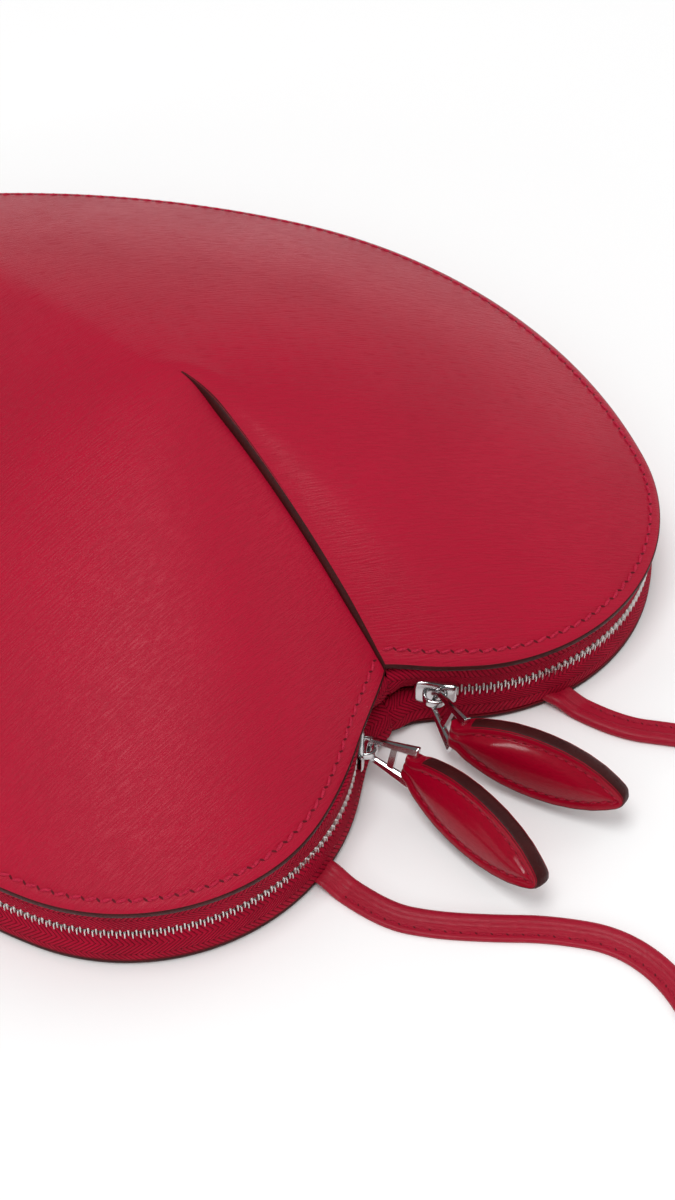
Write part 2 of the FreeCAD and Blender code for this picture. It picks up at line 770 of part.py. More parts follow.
def ribbon(points, width):
    """Closed profile of a flat strap along straight runs joined by tangent arcs, with the line's length and radii."""
    left, right, radii = [], [], []
    half = width / 2
    length = 0.0
    here = points[0]
    for before, corner, after in zip(points, points[1:], points[2:]):
        inward = (corner - before).normalize()
        onward = (after - corner).normalize()
        turn = inward.getAngle(onward)
        cut = 0.45 * min(corner.distanceToPoint(before), corner.distanceToPoint(after))
        radius = cut / math.tan(turn / 2)
        sign = 1 if inward.cross(onward).z > 0 else -1
        start, stop = corner - inward * cut, corner + onward * cut
        centre = start + Vector(-inward.y, inward.x, 0) * (radius * sign)
        middle = centre + (corner - centre).normalize() * radius
        normal = Vector(-inward.y, inward.x, 0) * half
        for edges, offset in ((left, 1), (right, -1)):
            edges.append((here + normal * offset, start + normal * offset))
            scale = (radius - sign * offset * half) / radius
            edges.append(tuple(centre + (point - centre) * scale for point in (start, middle, stop)))
        length += here.distanceToPoint(start) + radius * turn
        radii.append(radius)
        here = stop
    onward = (points[-1] - here).normalize()
    normal = Vector(-onward.y, onward.x, 0) * half
    for edges, offset in ((left, 1), (right, -1)):
        edges.append((here + normal * offset, points[-1] + normal * offset))
    length += here.distanceToPoint(points[-1])
    return strip(left, right), length, radii


def make_strap():
    """Free stretch of the shoulder strap, flat on the ground between the two tabs."""
    lead = size("tab_lead")
    points = [tab_end("right"), tab_end("right", lead)] + [Vector(x, y, 0) for x, y in STRAP_ROUTE]
    points += [tab_end("left", lead), tab_end("left")]
    profile, length, radii = ribbon(points, size("strap_width"))
    body = new_body("strap")
    pad(body, sketch(body, profile), "dims.strap_thickness")
    expected = size("strap_width") * size("strap_thickness") * length
    print("strap length", round(length, 1), "radii", [round(radius, 1) for radius in radii])
    print("strap volume", round(body.Shape.Volume, 1), "expected", round(expected, 1))


make_back_panel()
make_front_panel()
make_base_gusset()
for side in SIDES:
    for upper in (True, False):
        make_tape(side, upper)
        make_teeth(side, upper)
    make_stops(side)
    make_slider(side)
    make_bail(side)
    make_pull(side)
    make_drop(side)
    make_tab(side)
make_strap()
doc.recompute()

failed = [item.Label for item in doc.Objects if "Invalid" in item.State or "Error" in item.State]
failed += [node.Label for node in nodes if node.Shape.isNull() or not node.Shape.isValid()]
if failed:
    raise RuntimeError("these pieces failed: " + ", ".join(failed))
os.makedirs("parts", exist_ok=True)
for node in nodes:
    node.Shape.exportStep(f"parts/{node.Label}.step")
    print(node.Label, len(node.Shape.Solids), "solids", round(node.Shape.Volume, 1), "mm3")
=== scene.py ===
"""Looks of a heart shaped leather purse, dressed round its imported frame.

Lengths are metres and angles degrees. X points to the right-hand lobe, Y from the notch to the tip and Z up out of
the back panel, which lies on the floor.
"""

import json
import logging
import math
from dataclasses import dataclass
from enum import Enum

import bmesh
import bpy
import numpy as np
from mathutils import Matrix, Vector


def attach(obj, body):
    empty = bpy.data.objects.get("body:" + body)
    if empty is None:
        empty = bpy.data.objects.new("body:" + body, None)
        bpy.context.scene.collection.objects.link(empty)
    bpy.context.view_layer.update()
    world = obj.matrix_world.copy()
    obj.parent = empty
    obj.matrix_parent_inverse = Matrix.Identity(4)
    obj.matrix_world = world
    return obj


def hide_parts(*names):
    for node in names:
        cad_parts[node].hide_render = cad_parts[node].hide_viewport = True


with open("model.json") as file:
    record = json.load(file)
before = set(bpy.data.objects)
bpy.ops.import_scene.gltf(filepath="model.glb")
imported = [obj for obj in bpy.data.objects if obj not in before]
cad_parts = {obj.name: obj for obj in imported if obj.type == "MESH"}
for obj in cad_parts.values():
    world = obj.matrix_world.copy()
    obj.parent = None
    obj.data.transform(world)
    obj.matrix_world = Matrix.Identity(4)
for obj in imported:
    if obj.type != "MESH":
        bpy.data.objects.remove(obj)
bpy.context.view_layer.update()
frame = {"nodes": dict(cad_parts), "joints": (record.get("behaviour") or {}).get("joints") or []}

LOG = logging.getLogger("purse")
MM = 0.001
MERGE = 0.001 * MM
TINY = 1e-12
Array = np.ndarray
Colour = tuple[float, float, float]
Shape = tuple[Array, list[list[int]]]

# Sizes that several pieces share

RIM = 22 * MM
LEATHER = 1.6 * MM
LINING = 0.7 * MM
TAPE = 0.7 * MM
WALL_INSET = 1.8 * MM
WALL_NOTCH = 44.0
SLIDER_ANGLE = 137.0
SLIDER_LENGTH = 10.5 * MM
SEAM_POINTS = 900
UP = np.array([0.0, 0.0, 1.0])


class Named(Enum):
    """A choice whose name the frame's nodes spell in small letters."""

    @property
    def word(self) -> str:
        """The choice's name as the frame's nodes spell it."""
        return self.name.lower()


class Side(Named):
    """The two halves of the purse, by the sign of X."""

    RIGHT = 1
    LEFT = -1

    def pick(self, pair: tuple[float, float]) -> float:
        """This side's value out of a pair for the right and the left."""
        return pair[0] if self is Side.RIGHT else pair[1]


class Level(Named):
    """The two rows of the zip, by the sign of their place above the chain's middle."""

    UPPER = 1
    LOWER = -1


# Shared arithmetic

def srgb(red: int, green: int, blue: int) -> Colour:
    """Linear colour of an 8-bit screen colour.

    Args:
        red, green, blue: the screen values, 0 to 255.

    Returns:
        The three linear values.
    """
    share = np.array([red, green, blue]) / 255
    linear = np.where(share <= 0.04045, share / 12.92, ((share + 0.055) / 1.055) ** 2.4)
    return tuple(float(value) for value in linear)


def smooth(share: Array) -> Array:
    """Smooth step of a share: three squares less two cubes, held between 0 and 1."""
    held = np.clip(share, 0, 1)
    return held * held * (3 - 2 * held)


def unit(vectors: Array) -> Array:
    """Vectors of length one along the last axis."""
    return vectors / np.maximum(np.linalg.norm(vectors, axis=-1, keepdims=True), TINY)


def run_length(points: Array) -> Array:
    """Distance along a row of points, summed from its first point."""
    steps = np.linalg.norm(np.diff(points, axis=0), axis=-1)
    return np.concatenate([[0.0], np.cumsum(steps)])


def turned(vectors: Array, angle: float) -> Array:
    """Vectors turned about Z.

    Args:
        vectors: any array of vectors.
        angle: how far, in degrees.

    Returns:
        The turned vectors.
    """
    c, s = math.cos(math.radians(angle)), math.sin(math.radians(angle))
    x, y, z = np.moveaxis(vectors, -1, 0)
    return np.stack([c * x - s * y, s * x + c * y, z], axis=-1)


def round_angles(count: int) -> Array:
    """Even angles round a full turn, in radians."""
    return np.arange(count) * 2 * math.pi / count


def signed_power(values: Array, power: float) -> Array:
    """Size of each value raised to a power, with the value's own sign."""
    return np.sign(values) * np.abs(values) ** power


def along_path(spots: Array, lengths: Array, rows: Array) -> Array:
    """Rows of values read at distances along a path, straight between neighbours."""
    return np.stack([np.interp(spots, lengths, column) for column in rows.T], axis=-1)


def rounded_loop(corners: Array, radius: Array, steps: int = 7) -> Array:
    """Closed flat path whose corners are rounded by parabolas.

    A corner C with the unit ways b and a to its neighbours becomes C plus radius times the sum of b times one less t
    squared and a times t squared.

    Args:
        corners: the corners in order.
        radius: how far from each corner its rounding starts, as a column.
        steps: points on each corner.

    Returns:
        The path's points.
    """
    before = unit(np.roll(corners, 1, axis=0) - corners) * radius
    after = unit(np.roll(corners, -1, axis=0) - corners) * radius
    t = np.linspace(0, 1, steps)[:, None, None]
    return (corners + before * (1 - t) ** 2 + after * t ** 2).transpose(1, 0, 2).reshape(-1, 2)


def rolled_axes(heading: float, roll: float) -> Array:
    """Directions of a leaf that hangs level from its heading: along it, across its face and out of its face.

    Args:
        heading: its direction about Z.
        roll: how far its upper edge leans back.

    Returns:
        The three rows.
    """
    lean = math.radians(roll)
    along = turned(np.array([1.0, 0, 0]), heading)
    side = turned(np.array([0, 1.0, 0]), heading)
    across = np.array([0, 0, math.cos(lean)]) + side * math.sin(lean)
    return np.stack([along, across, np.cross(along, across)])


# Meshes

def grid_faces(rows: int, columns: int) -> list[list[int]]:
    """Quads between neighbouring points of a grid: the point in row i and column j is number i times columns plus j.

    Args:
        rows, columns: how many there are.

    Returns:
        Point numbers of each quad.
    """
    i, j = np.meshgrid(np.arange(rows - 1), np.arange(columns - 1), indexing="ij")
    first = i * columns + j
    corners = [first, first + 1, first + columns + 1, first + columns]
    return np.stack(corners, axis=-1).reshape(-1, 4).tolist()


def end_faces(rows: int, columns: int, size: int) -> list[list[int]]:
    """Two faces that close a grid at its first and last rows, through the first few points of each."""
    last = (rows - 1) * columns
    return [list(range(size)), list(range(last, last + size))]


def add_piece(name: str, points: Array, faces: list[list[int]], uv: Array | None = None,
              sharp: float = 40.0) -> bpy.types.Object:
    """Closed piece from points and faces, with doubles merged, normals outwards and sharp edges kept.

    Args:
        name: the piece's name.
        points: any array of points.
        faces: point numbers of each face.
        uv: one pair of pattern coordinates for each point.
        sharp: edges that turn by more than this many degrees stay sharp.

    Returns:
        The object, at the origin.
    """
    mesh = bpy.data.meshes.new(name)
    mesh.from_pydata(points.reshape(-1, 3).tolist(), [], faces)
    if uv is not None:
        corner = np.empty(len(mesh.loops), dtype=np.int32)
        mesh.loops.foreach_get("vertex_index", corner)
        layer = mesh.uv_layers.new(name="UVMap")
        layer.data.foreach_set("uv", uv.reshape(-1, 2)[corner].astype(np.float32).ravel())
    form = bmesh.new()
    form.from_mesh(mesh)
    bmesh.ops.remove_doubles(form, verts=form.verts, dist=MERGE)
    bmesh.ops.dissolve_degenerate(form, edges=form.edges, dist=MERGE)
    bmesh.ops.recalc_face_normals(form, faces=form.faces)
    form.to_mesh(mesh)
    form.free()
    mesh.shade_smooth()
    mesh.set_sharp_from_angle(angle=math.radians(sharp))
    piece = bpy.data.objects.new(name, mesh)
    bpy.context.scene.collection.objects.link(piece)
    return piece


def tube(name: str, rings: Array, closed: bool = False, sharp: float = 40.0) -> bpy.types.Object:
    """Piece from closed rings of points, one ring after another along a path.

    U is the distance along the path and V the distance round the ring, both in metres.

    Args:
        name: the piece's name.
        rings: points by ring and by place round the ring.
        closed: whether the last ring joins the first; otherwise both ends are capped.
        sharp: edges that turn by more than this many degrees stay sharp.

    Returns:
        The object.
    """
    if closed:
        rings = np.concatenate([rings, rings[:1]])
    count, size = rings.shape[:2]
    rings = np.concatenate([rings, rings[:, :1]], axis=1)
    along = run_length(rings.mean(axis=1))
    steps = np.linalg.norm(np.diff(rings, axis=1), axis=-1)
    around = np.concatenate([np.zeros((count, 1)), np.cumsum(steps, axis=1)], axis=1)
    uv = np.stack([np.broadcast_to(along[:, None], around.shape), around], axis=-1)
    faces = grid_faces(count, size + 1)
    if not closed:
        faces += end_faces(count, size + 1, size)
    return add_piece(name, rings, faces, uv, sharp)


def repeated(name: str, template: Array, faces: list[list[int]], origins: Array, axes: Array,
             sharp: float = 60.0) -> bpy.types.Object:
    """One piece made of the same small shape at many places.

    Args:
        name: the piece's name.
        template: the shape's points, in its own axes.
        faces: the shape's faces.
        origins: one place for each copy.
        axes: for each copy, the three rows that its own axes become.
        sharp: edges that turn by more than this many degrees stay sharp.

    Returns:
        The object.
    """
    points = origins[:, None, :] + np.einsum("pk,nkc->npc", template, axes)
    shape = [np.array(face) for face in faces]
    starts = np.arange(len(origins)) * len(template)
    every = [face for start in starts for face in ((corner + start).tolist() for corner in shape)]
    return add_piece(name, points, every, sharp=sharp)


def lofted(sections: Array) -> Shape:
    """Small capped shape through a few rings of points.

    Args:
        sections: points by ring and by place round the ring.

    Returns:
        The points and the faces.
    """
    rings, size = sections.shape[:2]
    i, j = np.meshgrid(np.arange(rings - 1), np.arange(size), indexing="ij")
    first, after = i * size + j, i * size + (j + 1) % size
    faces = np.stack([first, after, after + size, first + size], axis=-1).reshape(-1, 4).tolist()
    return sections.reshape(-1, 3), faces + end_faces(rings, size, size)


def dress(piece: bpy.types.Object, material: bpy.types.Material, body: str, slot: str,
          *nodes: str) -> bpy.types.Object:
    """Gives a piece its material and body, and hides the frame's nodes that it stands for.

    Args:
        piece: the piece.
        material: its finish.
        body: the body it rides on.
        slot: the record's material slot; not used.
        nodes: the nodes it replaces.

    Returns:
        The same piece.
    """
    piece.data.materials.clear()
    piece.data.materials.append(material)
    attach(piece, body)
    if nodes:
        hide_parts(*nodes)
    LOG.info("%s on %s, %d faces", piece.name, body, len(piece.data.polygons))
    return piece


def joint_place(name: str) -> Array:
    """Place of one of the frame's joints."""
    return np.array(next(joint for joint in frame["joints"] if joint["name"] == name)["pos_m"])


# Shader graphs

class Graph:
    """Short ways to add and join the nodes of one tree."""

    def __init__(self, tree: bpy.types.NodeTree) -> None:
        """Keeps the tree to add to."""
        self.tree = tree

    def add(self, kind: str, settings: dict | None = None, **inputs: object) -> bpy.types.Node:
        """Adds a node.

        Args:
            kind: the node's type, without its common first word.
            settings: the node's own properties.
            inputs: values or outputs for its inputs; an underscore stands for a space, n and a number for a place.

        Returns:
            The node.
        """
        node = self.tree.nodes.new("ShaderNode" + kind)
        for word, value in (settings or {}).items():
            setattr(node, word, value)
        for word, value in inputs.items():
            place = int(word[1:]) if word[0] == "n" and word[1:].isdigit() else word.replace("_", " ")
            self.put(node.inputs[place], value)
        return node

    def put(self, socket: bpy.types.NodeSocket, value: object) -> None:
        """Joins an output to a socket, or sets the socket's own value; a colour is made opaque.

        Args:
            socket: the input.
            value: an output, a number, a vector or a colour.
        """
        if isinstance(value, bpy.types.NodeSocket):
            self.tree.links.new(value, socket)
        else:
            socket.default_value = (*value, 1.0) if socket.type == "RGBA" else value

    def math(self, operation: str, *values: object) -> bpy.types.NodeSocket:
        """Output of a Math node on some values or outputs."""
        places = {f"n{place}": value for place, value in enumerate(values)}
        return self.add("Math", {"operation": operation}, **places).outputs[0]

    def span(self, value: bpy.types.NodeSocket, low: float, high: float, first: float,
             last: float) -> bpy.types.NodeSocket:
        """Output that runs smoothly from first to last as a value runs from low to high."""
        node = self.add("MapRange", {"interpolation_type": "SMOOTHSTEP"}, Value=value, From_Min=low, From_Max=high,
                        To_Min=first, To_Max=last)
        return node.outputs[0]

    def mix(self, share: object, first: object, second: object) -> bpy.types.NodeSocket:
        """Colour between two colours, by a share."""
        return self.add("Mix", {"data_type": "RGBA"}, n0=share, n6=first, n7=second).outputs[2]

    def scaled(self, value: bpy.types.NodeSocket, factor: float, start: object = 0.0) -> bpy.types.NodeSocket:
        """Output that is a start plus a factor times a value."""
        return self.math("MULTIPLY_ADD", value, factor, start)

    def use(self, group: bpy.types.NodeTree, **inputs: object) -> bpy.types.Node:
        """Places a shared group with its own values."""
        return self.add("Group", {"node_tree": group}, **inputs)


class Effects:
    """The shader groups that several finishes share, each built once."""

    made: dict[str, bpy.types.NodeTree] = {}
    streaks: tuple[float, float] = (0.34, 0.62)
    pores: tuple[float, float] = (0.3, 0.6)
    streak_share: float = 0.72
    creases: tuple[float, float] = (0.15, 0.6)
    drifts: tuple[float, float] = (0.3, 0.7)
    twist: float = 0.45
    rib_share: float = 0.8
    turn: tuple[float, float] = (0.0, 0.25 * MM)
    turn_low: float = 0.4
    gaps: tuple[float, float] = (0.1, 0.6)

    @classmethod
    def begin(cls, name: str, inputs: dict[str, float | None], outputs: list[str]) -> tuple[Graph, dict, dict]:
        """Starts a group.

        Args:
            name: the group's name.
            inputs: default of each value input, and none for a vector.
            outputs: names of its value outputs.

        Returns:
            The graph, its input sockets by name and its output sockets by name.
        """
        tree = bpy.data.node_groups.new(name, "ShaderNodeTree")
        for word, value in inputs.items():
            kind = "NodeSocketVector" if value is None else "NodeSocketFloat"
            socket = tree.interface.new_socket(word, in_out="INPUT", socket_type=kind)
            if value is not None:
                socket.default_value = value
        for word in outputs:
            tree.interface.new_socket(word, in_out="OUTPUT", socket_type="NodeSocketFloat")
        entry, leave = tree.nodes.new("NodeGroupInput"), tree.nodes.new("NodeGroupOutput")
        cls.made[name] = tree
        return Graph(tree), {s.name: s for s in entry.outputs}, {s.name: s for s in leave.inputs}

    @classmethod
    def boarded(cls) -> bpy.types.NodeTree:
        """Boarded grain: noise drawn out along X into fine streaks, broken by small round pores.

        Returns:
            The group.
        """
        name = "boarded grain"
        if name in cls.made:
            return cls.made[name]
        inputs = {"Vector": None, "Length": 3 * MM, "Width": 0.5 * MM, "Pore": 0.35 * MM}
        g, given, put = cls.begin(name, inputs, ["Height", "Crease"])
        length, width, pore = (g.math("DIVIDE", 1.0, given[word]) for word in ("Length", "Width", "Pore"))
        scale = g.add("CombineXYZ", n0=length, n1=width, n2=width)
        drawn = g.add("VectorMath", {"operation": "MULTIPLY"}, n0=given["Vector"], n1=scale.outputs[0])
        streak = g.add("TexNoise", Vector=drawn.outputs[0], Scale=1.0, Detail=3.0, Roughness=0.55)
        speck = g.add("TexNoise", Vector=given["Vector"], Scale=pore, Detail=1.0)
        line = g.span(streak.outputs[0], *cls.streaks, 0.0, 1.0)
        dots = g.span(speck.outputs[0], *cls.pores, 0.0, 1.0)
        height = g.scaled(line, cls.streak_share, g.scaled(dots, 1 - cls.streak_share))
        g.put(put["Height"], height)
        g.put(put["Crease"], g.span(height, *cls.creases, 1.0, 0.0))
        return cls.made[name]

    @classmethod
    def drift(cls) -> bpy.types.NodeTree:
        """Slow drift of tone and handling over a surface: soft noise at a size, from 0 to 1.

        Returns:
            The group.
        """
        name = "slow drift"
        if name in cls.made:
            return cls.made[name]
        g, given, put = cls.begin(name, {"Vector": None, "Size": 40 * MM}, ["Share"])
        noise = g.add("TexNoise", Vector=given["Vector"], Scale=g.math("DIVIDE", 1.0, given["Size"]), Detail=2.0)
        g.put(put["Share"], g.span(noise.outputs[0], *cls.drifts, 0.0, 1.0))
        return cls.made[name]

    @classmethod
    def herringbone(cls) -> bpy.types.NodeTree:
        """Herringbone weave: slanted ribs along U whose slant turns at each band of V, with the yarn's own twist.

        Returns:
            The group.
        """
        name = "herringbone weave"
        if name in cls.made:
            return cls.made[name]
        g, given, put = cls.begin(name, {"Vector": None, "Rib": 0.7 * MM, "Band": 2.2 * MM}, ["Height", "Gap"])
        apart = g.add("SeparateXYZ", n0=given["Vector"])
        fold = g.math("PINGPONG", apart.outputs[1], given["Band"])
        phase = g.math("DIVIDE", g.math("ADD", apart.outputs[0], fold), given["Rib"])
        twist = g.math("DIVIDE", g.math("SUBTRACT", apart.outputs[0], fold), g.scaled(given["Rib"], cls.twist))
        rib, yarn = (g.math("ABSOLUTE", g.math("SINE", g.scaled(turns, math.pi))) for turns in (phase, twist))
        turn = g.span(fold, *cls.turn, cls.turn_low, 1.0)
        ribs = g.scaled(rib, cls.rib_share, g.scaled(yarn, 1 - cls.rib_share))
        height = g.math("MULTIPLY", ribs, turn)
        g.put(put["Height"], height)
        g.put(put["Gap"], g.span(height, *cls.gaps, 1.0, 0.0))
        return cls.made[name]


class Pattern(Enum):
    """What a finish's pattern is laid on."""

    OBJECT = "Object"
    UV = "UV"


def start_material(name: str) -> tuple[bpy.types.Material, Graph, bpy.types.Node]:
    """New material with only a shader and an output.

    Args:
        name: the material's name.

    Returns:
        The material, its graph and its shader.
    """
    material = bpy.data.materials.new(name)
    material.use_nodes = True
    material.node_tree.nodes.clear()
    g = Graph(material.node_tree)
    shader = g.add("BsdfPrincipled")
    g.add("OutputMaterial", Surface=shader.outputs[0])
    return material, g, shader


def laid_on(g: Graph, pattern: Pattern, turn: float = 0.0) -> bpy.types.NodeSocket:
    """Coordinates that a pattern follows, turned about Z by an angle in degrees."""
    place = g.add("TexCoord").outputs[pattern.value]
    return g.add("Mapping", Vector=place, Rotation=(0.0, 0.0, math.radians(turn))).outputs[0]


def finish_shader(g: Graph, shader: bpy.types.Node, tone: object, rough: object, relief: bpy.types.NodeSocket,
                  depth: float, **fixed: float) -> None:
    """Joins a finish to its shader.

    Args:
        g: the material's graph.
        shader: its shader.
        tone, rough: its colour and its roughness.
        relief: its height, from 0 to 1.
        depth: how deep the relief is.
        fixed: values of other sockets; an underscore stands for a space.
    """
    g.put(shader.inputs["Base Color"], tone)
    g.put(shader.inputs["Roughness"], rough)
    g.put(shader.inputs["Normal"], g.add("Bump", Height=relief, Distance=depth, Strength=1.0).outputs[0])
    for word, value in fixed.items():
        shader.inputs[word.replace("_", " ")].default_value = value


@dataclass(frozen=True)
class Leather:
    """Dyed leather with boarded grain, painted shade in the grain's creases, slow changes of tone and a polished top.
    """

    name: str
    colour: Colour
    # Darker colour of the painted shade in the grain's creases, and of the drift's random wear
    crease: Colour
    pattern: Pattern = Pattern.OBJECT
    turn: float = 0.0
    length: float = 3 * MM
    width: float = 0.45 * MM
    pore: float = 0.3 * MM
    depth: float = 0.06 * MM
    roughness: float = 0.42
    gloss: float = 0.2
    coat: float = 0.04
    coat_roughness: float = 0.2
    drift: float = 45 * MM
    crease_share: float = 0.2
    wear: float = 0.16
    crease_rough: float = 0.14
    wear_rough: float = 0.06

    def material(self) -> bpy.types.Material:
        """Grain lowers the surface and darkens its creases with painted shade; drift changes its tone and its gloss.

        Returns:
            The material.
        """
        material, g, shader = start_material(self.name)
        place = laid_on(g, self.pattern, self.turn)
        grain = g.use(Effects.boarded(), Vector=place, Length=self.length, Width=self.width, Pore=self.pore)
        crease = grain.outputs["Crease"]
        drift = g.use(Effects.drift(), Vector=place, Size=self.drift).outputs["Share"]
        # Painted shade: the grain's creases are darkened, then drift darkens the tone at random
        tone = g.mix(g.scaled(crease, self.crease_share), self.colour, self.crease)
        tone = g.mix(g.scaled(drift, self.wear), tone, self.crease)
        rough = g.scaled(drift, self.wear_rough, g.scaled(crease, self.crease_rough, self.roughness))
        finish_shader(g, shader, tone, rough, grain.outputs["Height"], self.depth, Specular_IOR_Level=self.gloss,
                      Coat_Weight=self.coat, Coat_Roughness=self.coat_roughness)
        return material


@dataclass(frozen=True)
class EdgePaint:
    """Thick edge paint, nearly black, with small ripples from the brush. The same recipe makes the painted shade of
    the stitch holes.
    """

    name: str
    colour: Colour
    worn: Colour
    roughness: float = 0.38
    drift: float = 6 * MM
    length: float = 1.6 * MM
    width: float = 0.9 * MM
    pore: float = 0.5 * MM
    depth: float = 0.04 * MM
    thinning: float = 0.5
    ripple: float = 0.15
    gloss: float = 0.25

    def material(self) -> bpy.types.Material:
        """Drift thins the paint a little, and fine grain ripples it.

        Returns:
            The material.
        """
        material, g, shader = start_material(self.name)
        place = laid_on(g, Pattern.OBJECT)
        drift = g.use(Effects.drift(), Vector=place, Size=self.drift).outputs["Share"]
        grain = g.use(Effects.boarded(), Vector=place, Length=self.length, Width=self.width, Pore=self.pore)
        tone = g.mix(g.scaled(drift, self.thinning), self.colour, self.worn)
        rough = g.scaled(grain.outputs["Crease"], self.ripple, self.roughness)
        finish_shader(g, shader, tone, rough, grain.outputs["Height"], self.depth, Specular_IOR_Level=self.gloss)
        return material


@dataclass(frozen=True)
class Weave:
    """Woven zip tape or lining in a herringbone."""

    name: str
    colour: Colour
    # Colour of the painted shade between ribs, also the colour that the drift fades towards
    gap: Colour
    pattern: Pattern = Pattern.UV
    rib: float = 0.75 * MM
    band: float = 2.2 * MM
    depth: float = 0.16 * MM
    roughness: float = 0.75
    drift: float = 8 * MM
    fading: float = 0.25
    gap_rough: float = 0.15
    gloss: float = 0.1

    def material(self) -> bpy.types.Material:
        """Ribs stand up and the gaps between them are darkened with painted shade.

        Returns:
            The material.
        """
        material, g, shader = start_material(self.name)
        place = laid_on(g, self.pattern)
        weave = g.use(Effects.herringbone(), Vector=place, Rib=self.rib, Band=self.band)
        gap = weave.outputs["Gap"]
        drift = g.use(Effects.drift(), Vector=place, Size=self.drift).outputs["Share"]
        # Painted shade in the gaps between ribs, then a random fading towards the same dark colour
        tone = g.mix(g.scaled(drift, self.fading), g.mix(gap, self.colour, self.gap), self.gap)
        rough = g.scaled(gap, self.gap_rough, self.roughness)
        finish_shader(g, shader, tone, rough, weave.outputs["Height"], self.depth, Specular_IOR_Level=self.gloss)
        return material


@dataclass(frozen=True)
class Metal:
    """Plated metal with faint cloudy polish marks."""

    name: str
    colour: Colour
    dull: Colour
    roughness: float = 0.12
    cloud: float = 0.1
    drift: float = 3 * MM
    length: float = 2.5 * MM
    width: float = 0.12 * MM
    pore: float = 0.1 * MM
    depth: float = 0.003 * MM
    dulling: float = 0.6
    mark_rough: float = 0.06

    def material(self) -> bpy.types.Material:
        """Drift dulls the plate here and there, and fine marks roughen it.

        Returns:
            The material.
        """
        material, g, shader = start_material(self.name)
        place = laid_on(g, Pattern.OBJECT)
        drift = g.use(Effects.drift(), Vector=place, Size=self.drift).outputs["Share"]
        marks = g.use(Effects.boarded(), Vector=place, Length=self.length, Width=self.width, Pore=self.pore)
        tone = g.mix(g.scaled(drift, self.dulling), self.colour, self.dull)
        rough = g.scaled(marks.outputs["Crease"], self.mark_rough, g.scaled(drift, self.cloud, self.roughness))
        finish_shader(g, shader, tone, rough, marks.outputs["Height"], self.depth, Metallic=1.0)
        return material


@dataclass(frozen=True)
class Thread:
    """Waxed sewing thread, twisted along its length."""

    name: str
    colour: Colour
    # Colour of the painted shade between strands
    dark: Colour
    slant: float = 35.0
    length: float = 0.7 * MM
    width: float = 0.16 * MM
    pore: float = 0.2 * MM
    depth: float = 0.05 * MM
    roughness: float = 0.5
    gap_rough: float = 0.2
    gloss: float = 0.2

    def material(self) -> bpy.types.Material:
        """Fine slanted strands whose gaps are darkened with painted shade.

        Returns:
            The material.
        """
        material, g, shader = start_material(self.name)
        place = laid_on(g, Pattern.OBJECT, self.slant)
        strand = g.use(Effects.boarded(), Vector=place, Length=self.length, Width=self.width, Pore=self.pore)
        gap = strand.outputs["Crease"]
        rough = g.scaled(gap, self.gap_rough, self.roughness)
        # The gaps between strands are darkened with painted shade
        finish_shader(g, shader, g.mix(gap, self.colour, self.dark), rough, strand.outputs["Height"], self.depth,
                      Specular_IOR_Level=self.gloss)
        return material


class Finishes:
    """Every finish of the purse, made once."""

    def __init__(self) -> None:
        """Makes the materials."""
        self.edge = EdgePaint("edge_paint", srgb(56, 8, 10), srgb(74, 16, 16), roughness=0.5).material()
        self.panel = Leather("front_leather", srgb(176, 14, 48), srgb(134, 4, 30), Pattern.UV, turn=-8.0,
                             length=5 * MM, width=0.42 * MM, depth=0.08 * MM, roughness=0.32, coat=0.0).material()
        self.back = Leather("back_leather", srgb(140, 12, 34), srgb(90, 4, 20)).material()
        self.drop = Leather("drop_leather", srgb(152, 0, 32), srgb(100, 0, 18), Pattern.UV, length=1.6 * MM,
                            width=0.6 * MM, depth=0.03 * MM, roughness=0.34, gloss=0.06, coat=0.32,
                            coat_roughness=0.14).material()
        self.strap = Leather("strap_leather", srgb(164, 10, 42), srgb(110, 2, 24), Pattern.UV, length=2 * MM,
                             roughness=0.38, coat=0.1).material()
        self.tape = Weave("zip_tape", srgb(176, 8, 46), srgb(92, 2, 20), rib=1.25 * MM, band=3.4 * MM,
                          depth=0.3 * MM).material()
        self.lining = Weave("lining_cloth", srgb(110, 14, 32), srgb(70, 6, 18), Pattern.OBJECT, rib=0.6 * MM,
                            band=3 * MM, depth=0.08 * MM).material()
        self.nickel = Metal("zip_nickel", (0.8, 0.8, 0.78), (0.64, 0.64, 0.62), roughness=0.28).material()
        self.chrome = Metal("chrome_plate", (0.82, 0.82, 0.83), (0.7, 0.7, 0.71), roughness=0.1,
                            cloud=0.06).material()
        self.thread = Thread("red_thread", srgb(192, 30, 64), srgb(140, 10, 38)).material()
        self.drop_thread = Thread("dark_red_thread", srgb(172, 16, 48), srgb(118, 4, 28)).material()
        # Stitch holes: painted shade, a flat dark red where the holes' depth would be in shade
        self.hole = EdgePaint("stitch_hole", srgb(92, 5, 22), srgb(112, 9, 30), roughness=0.7).material()


# The heart's line

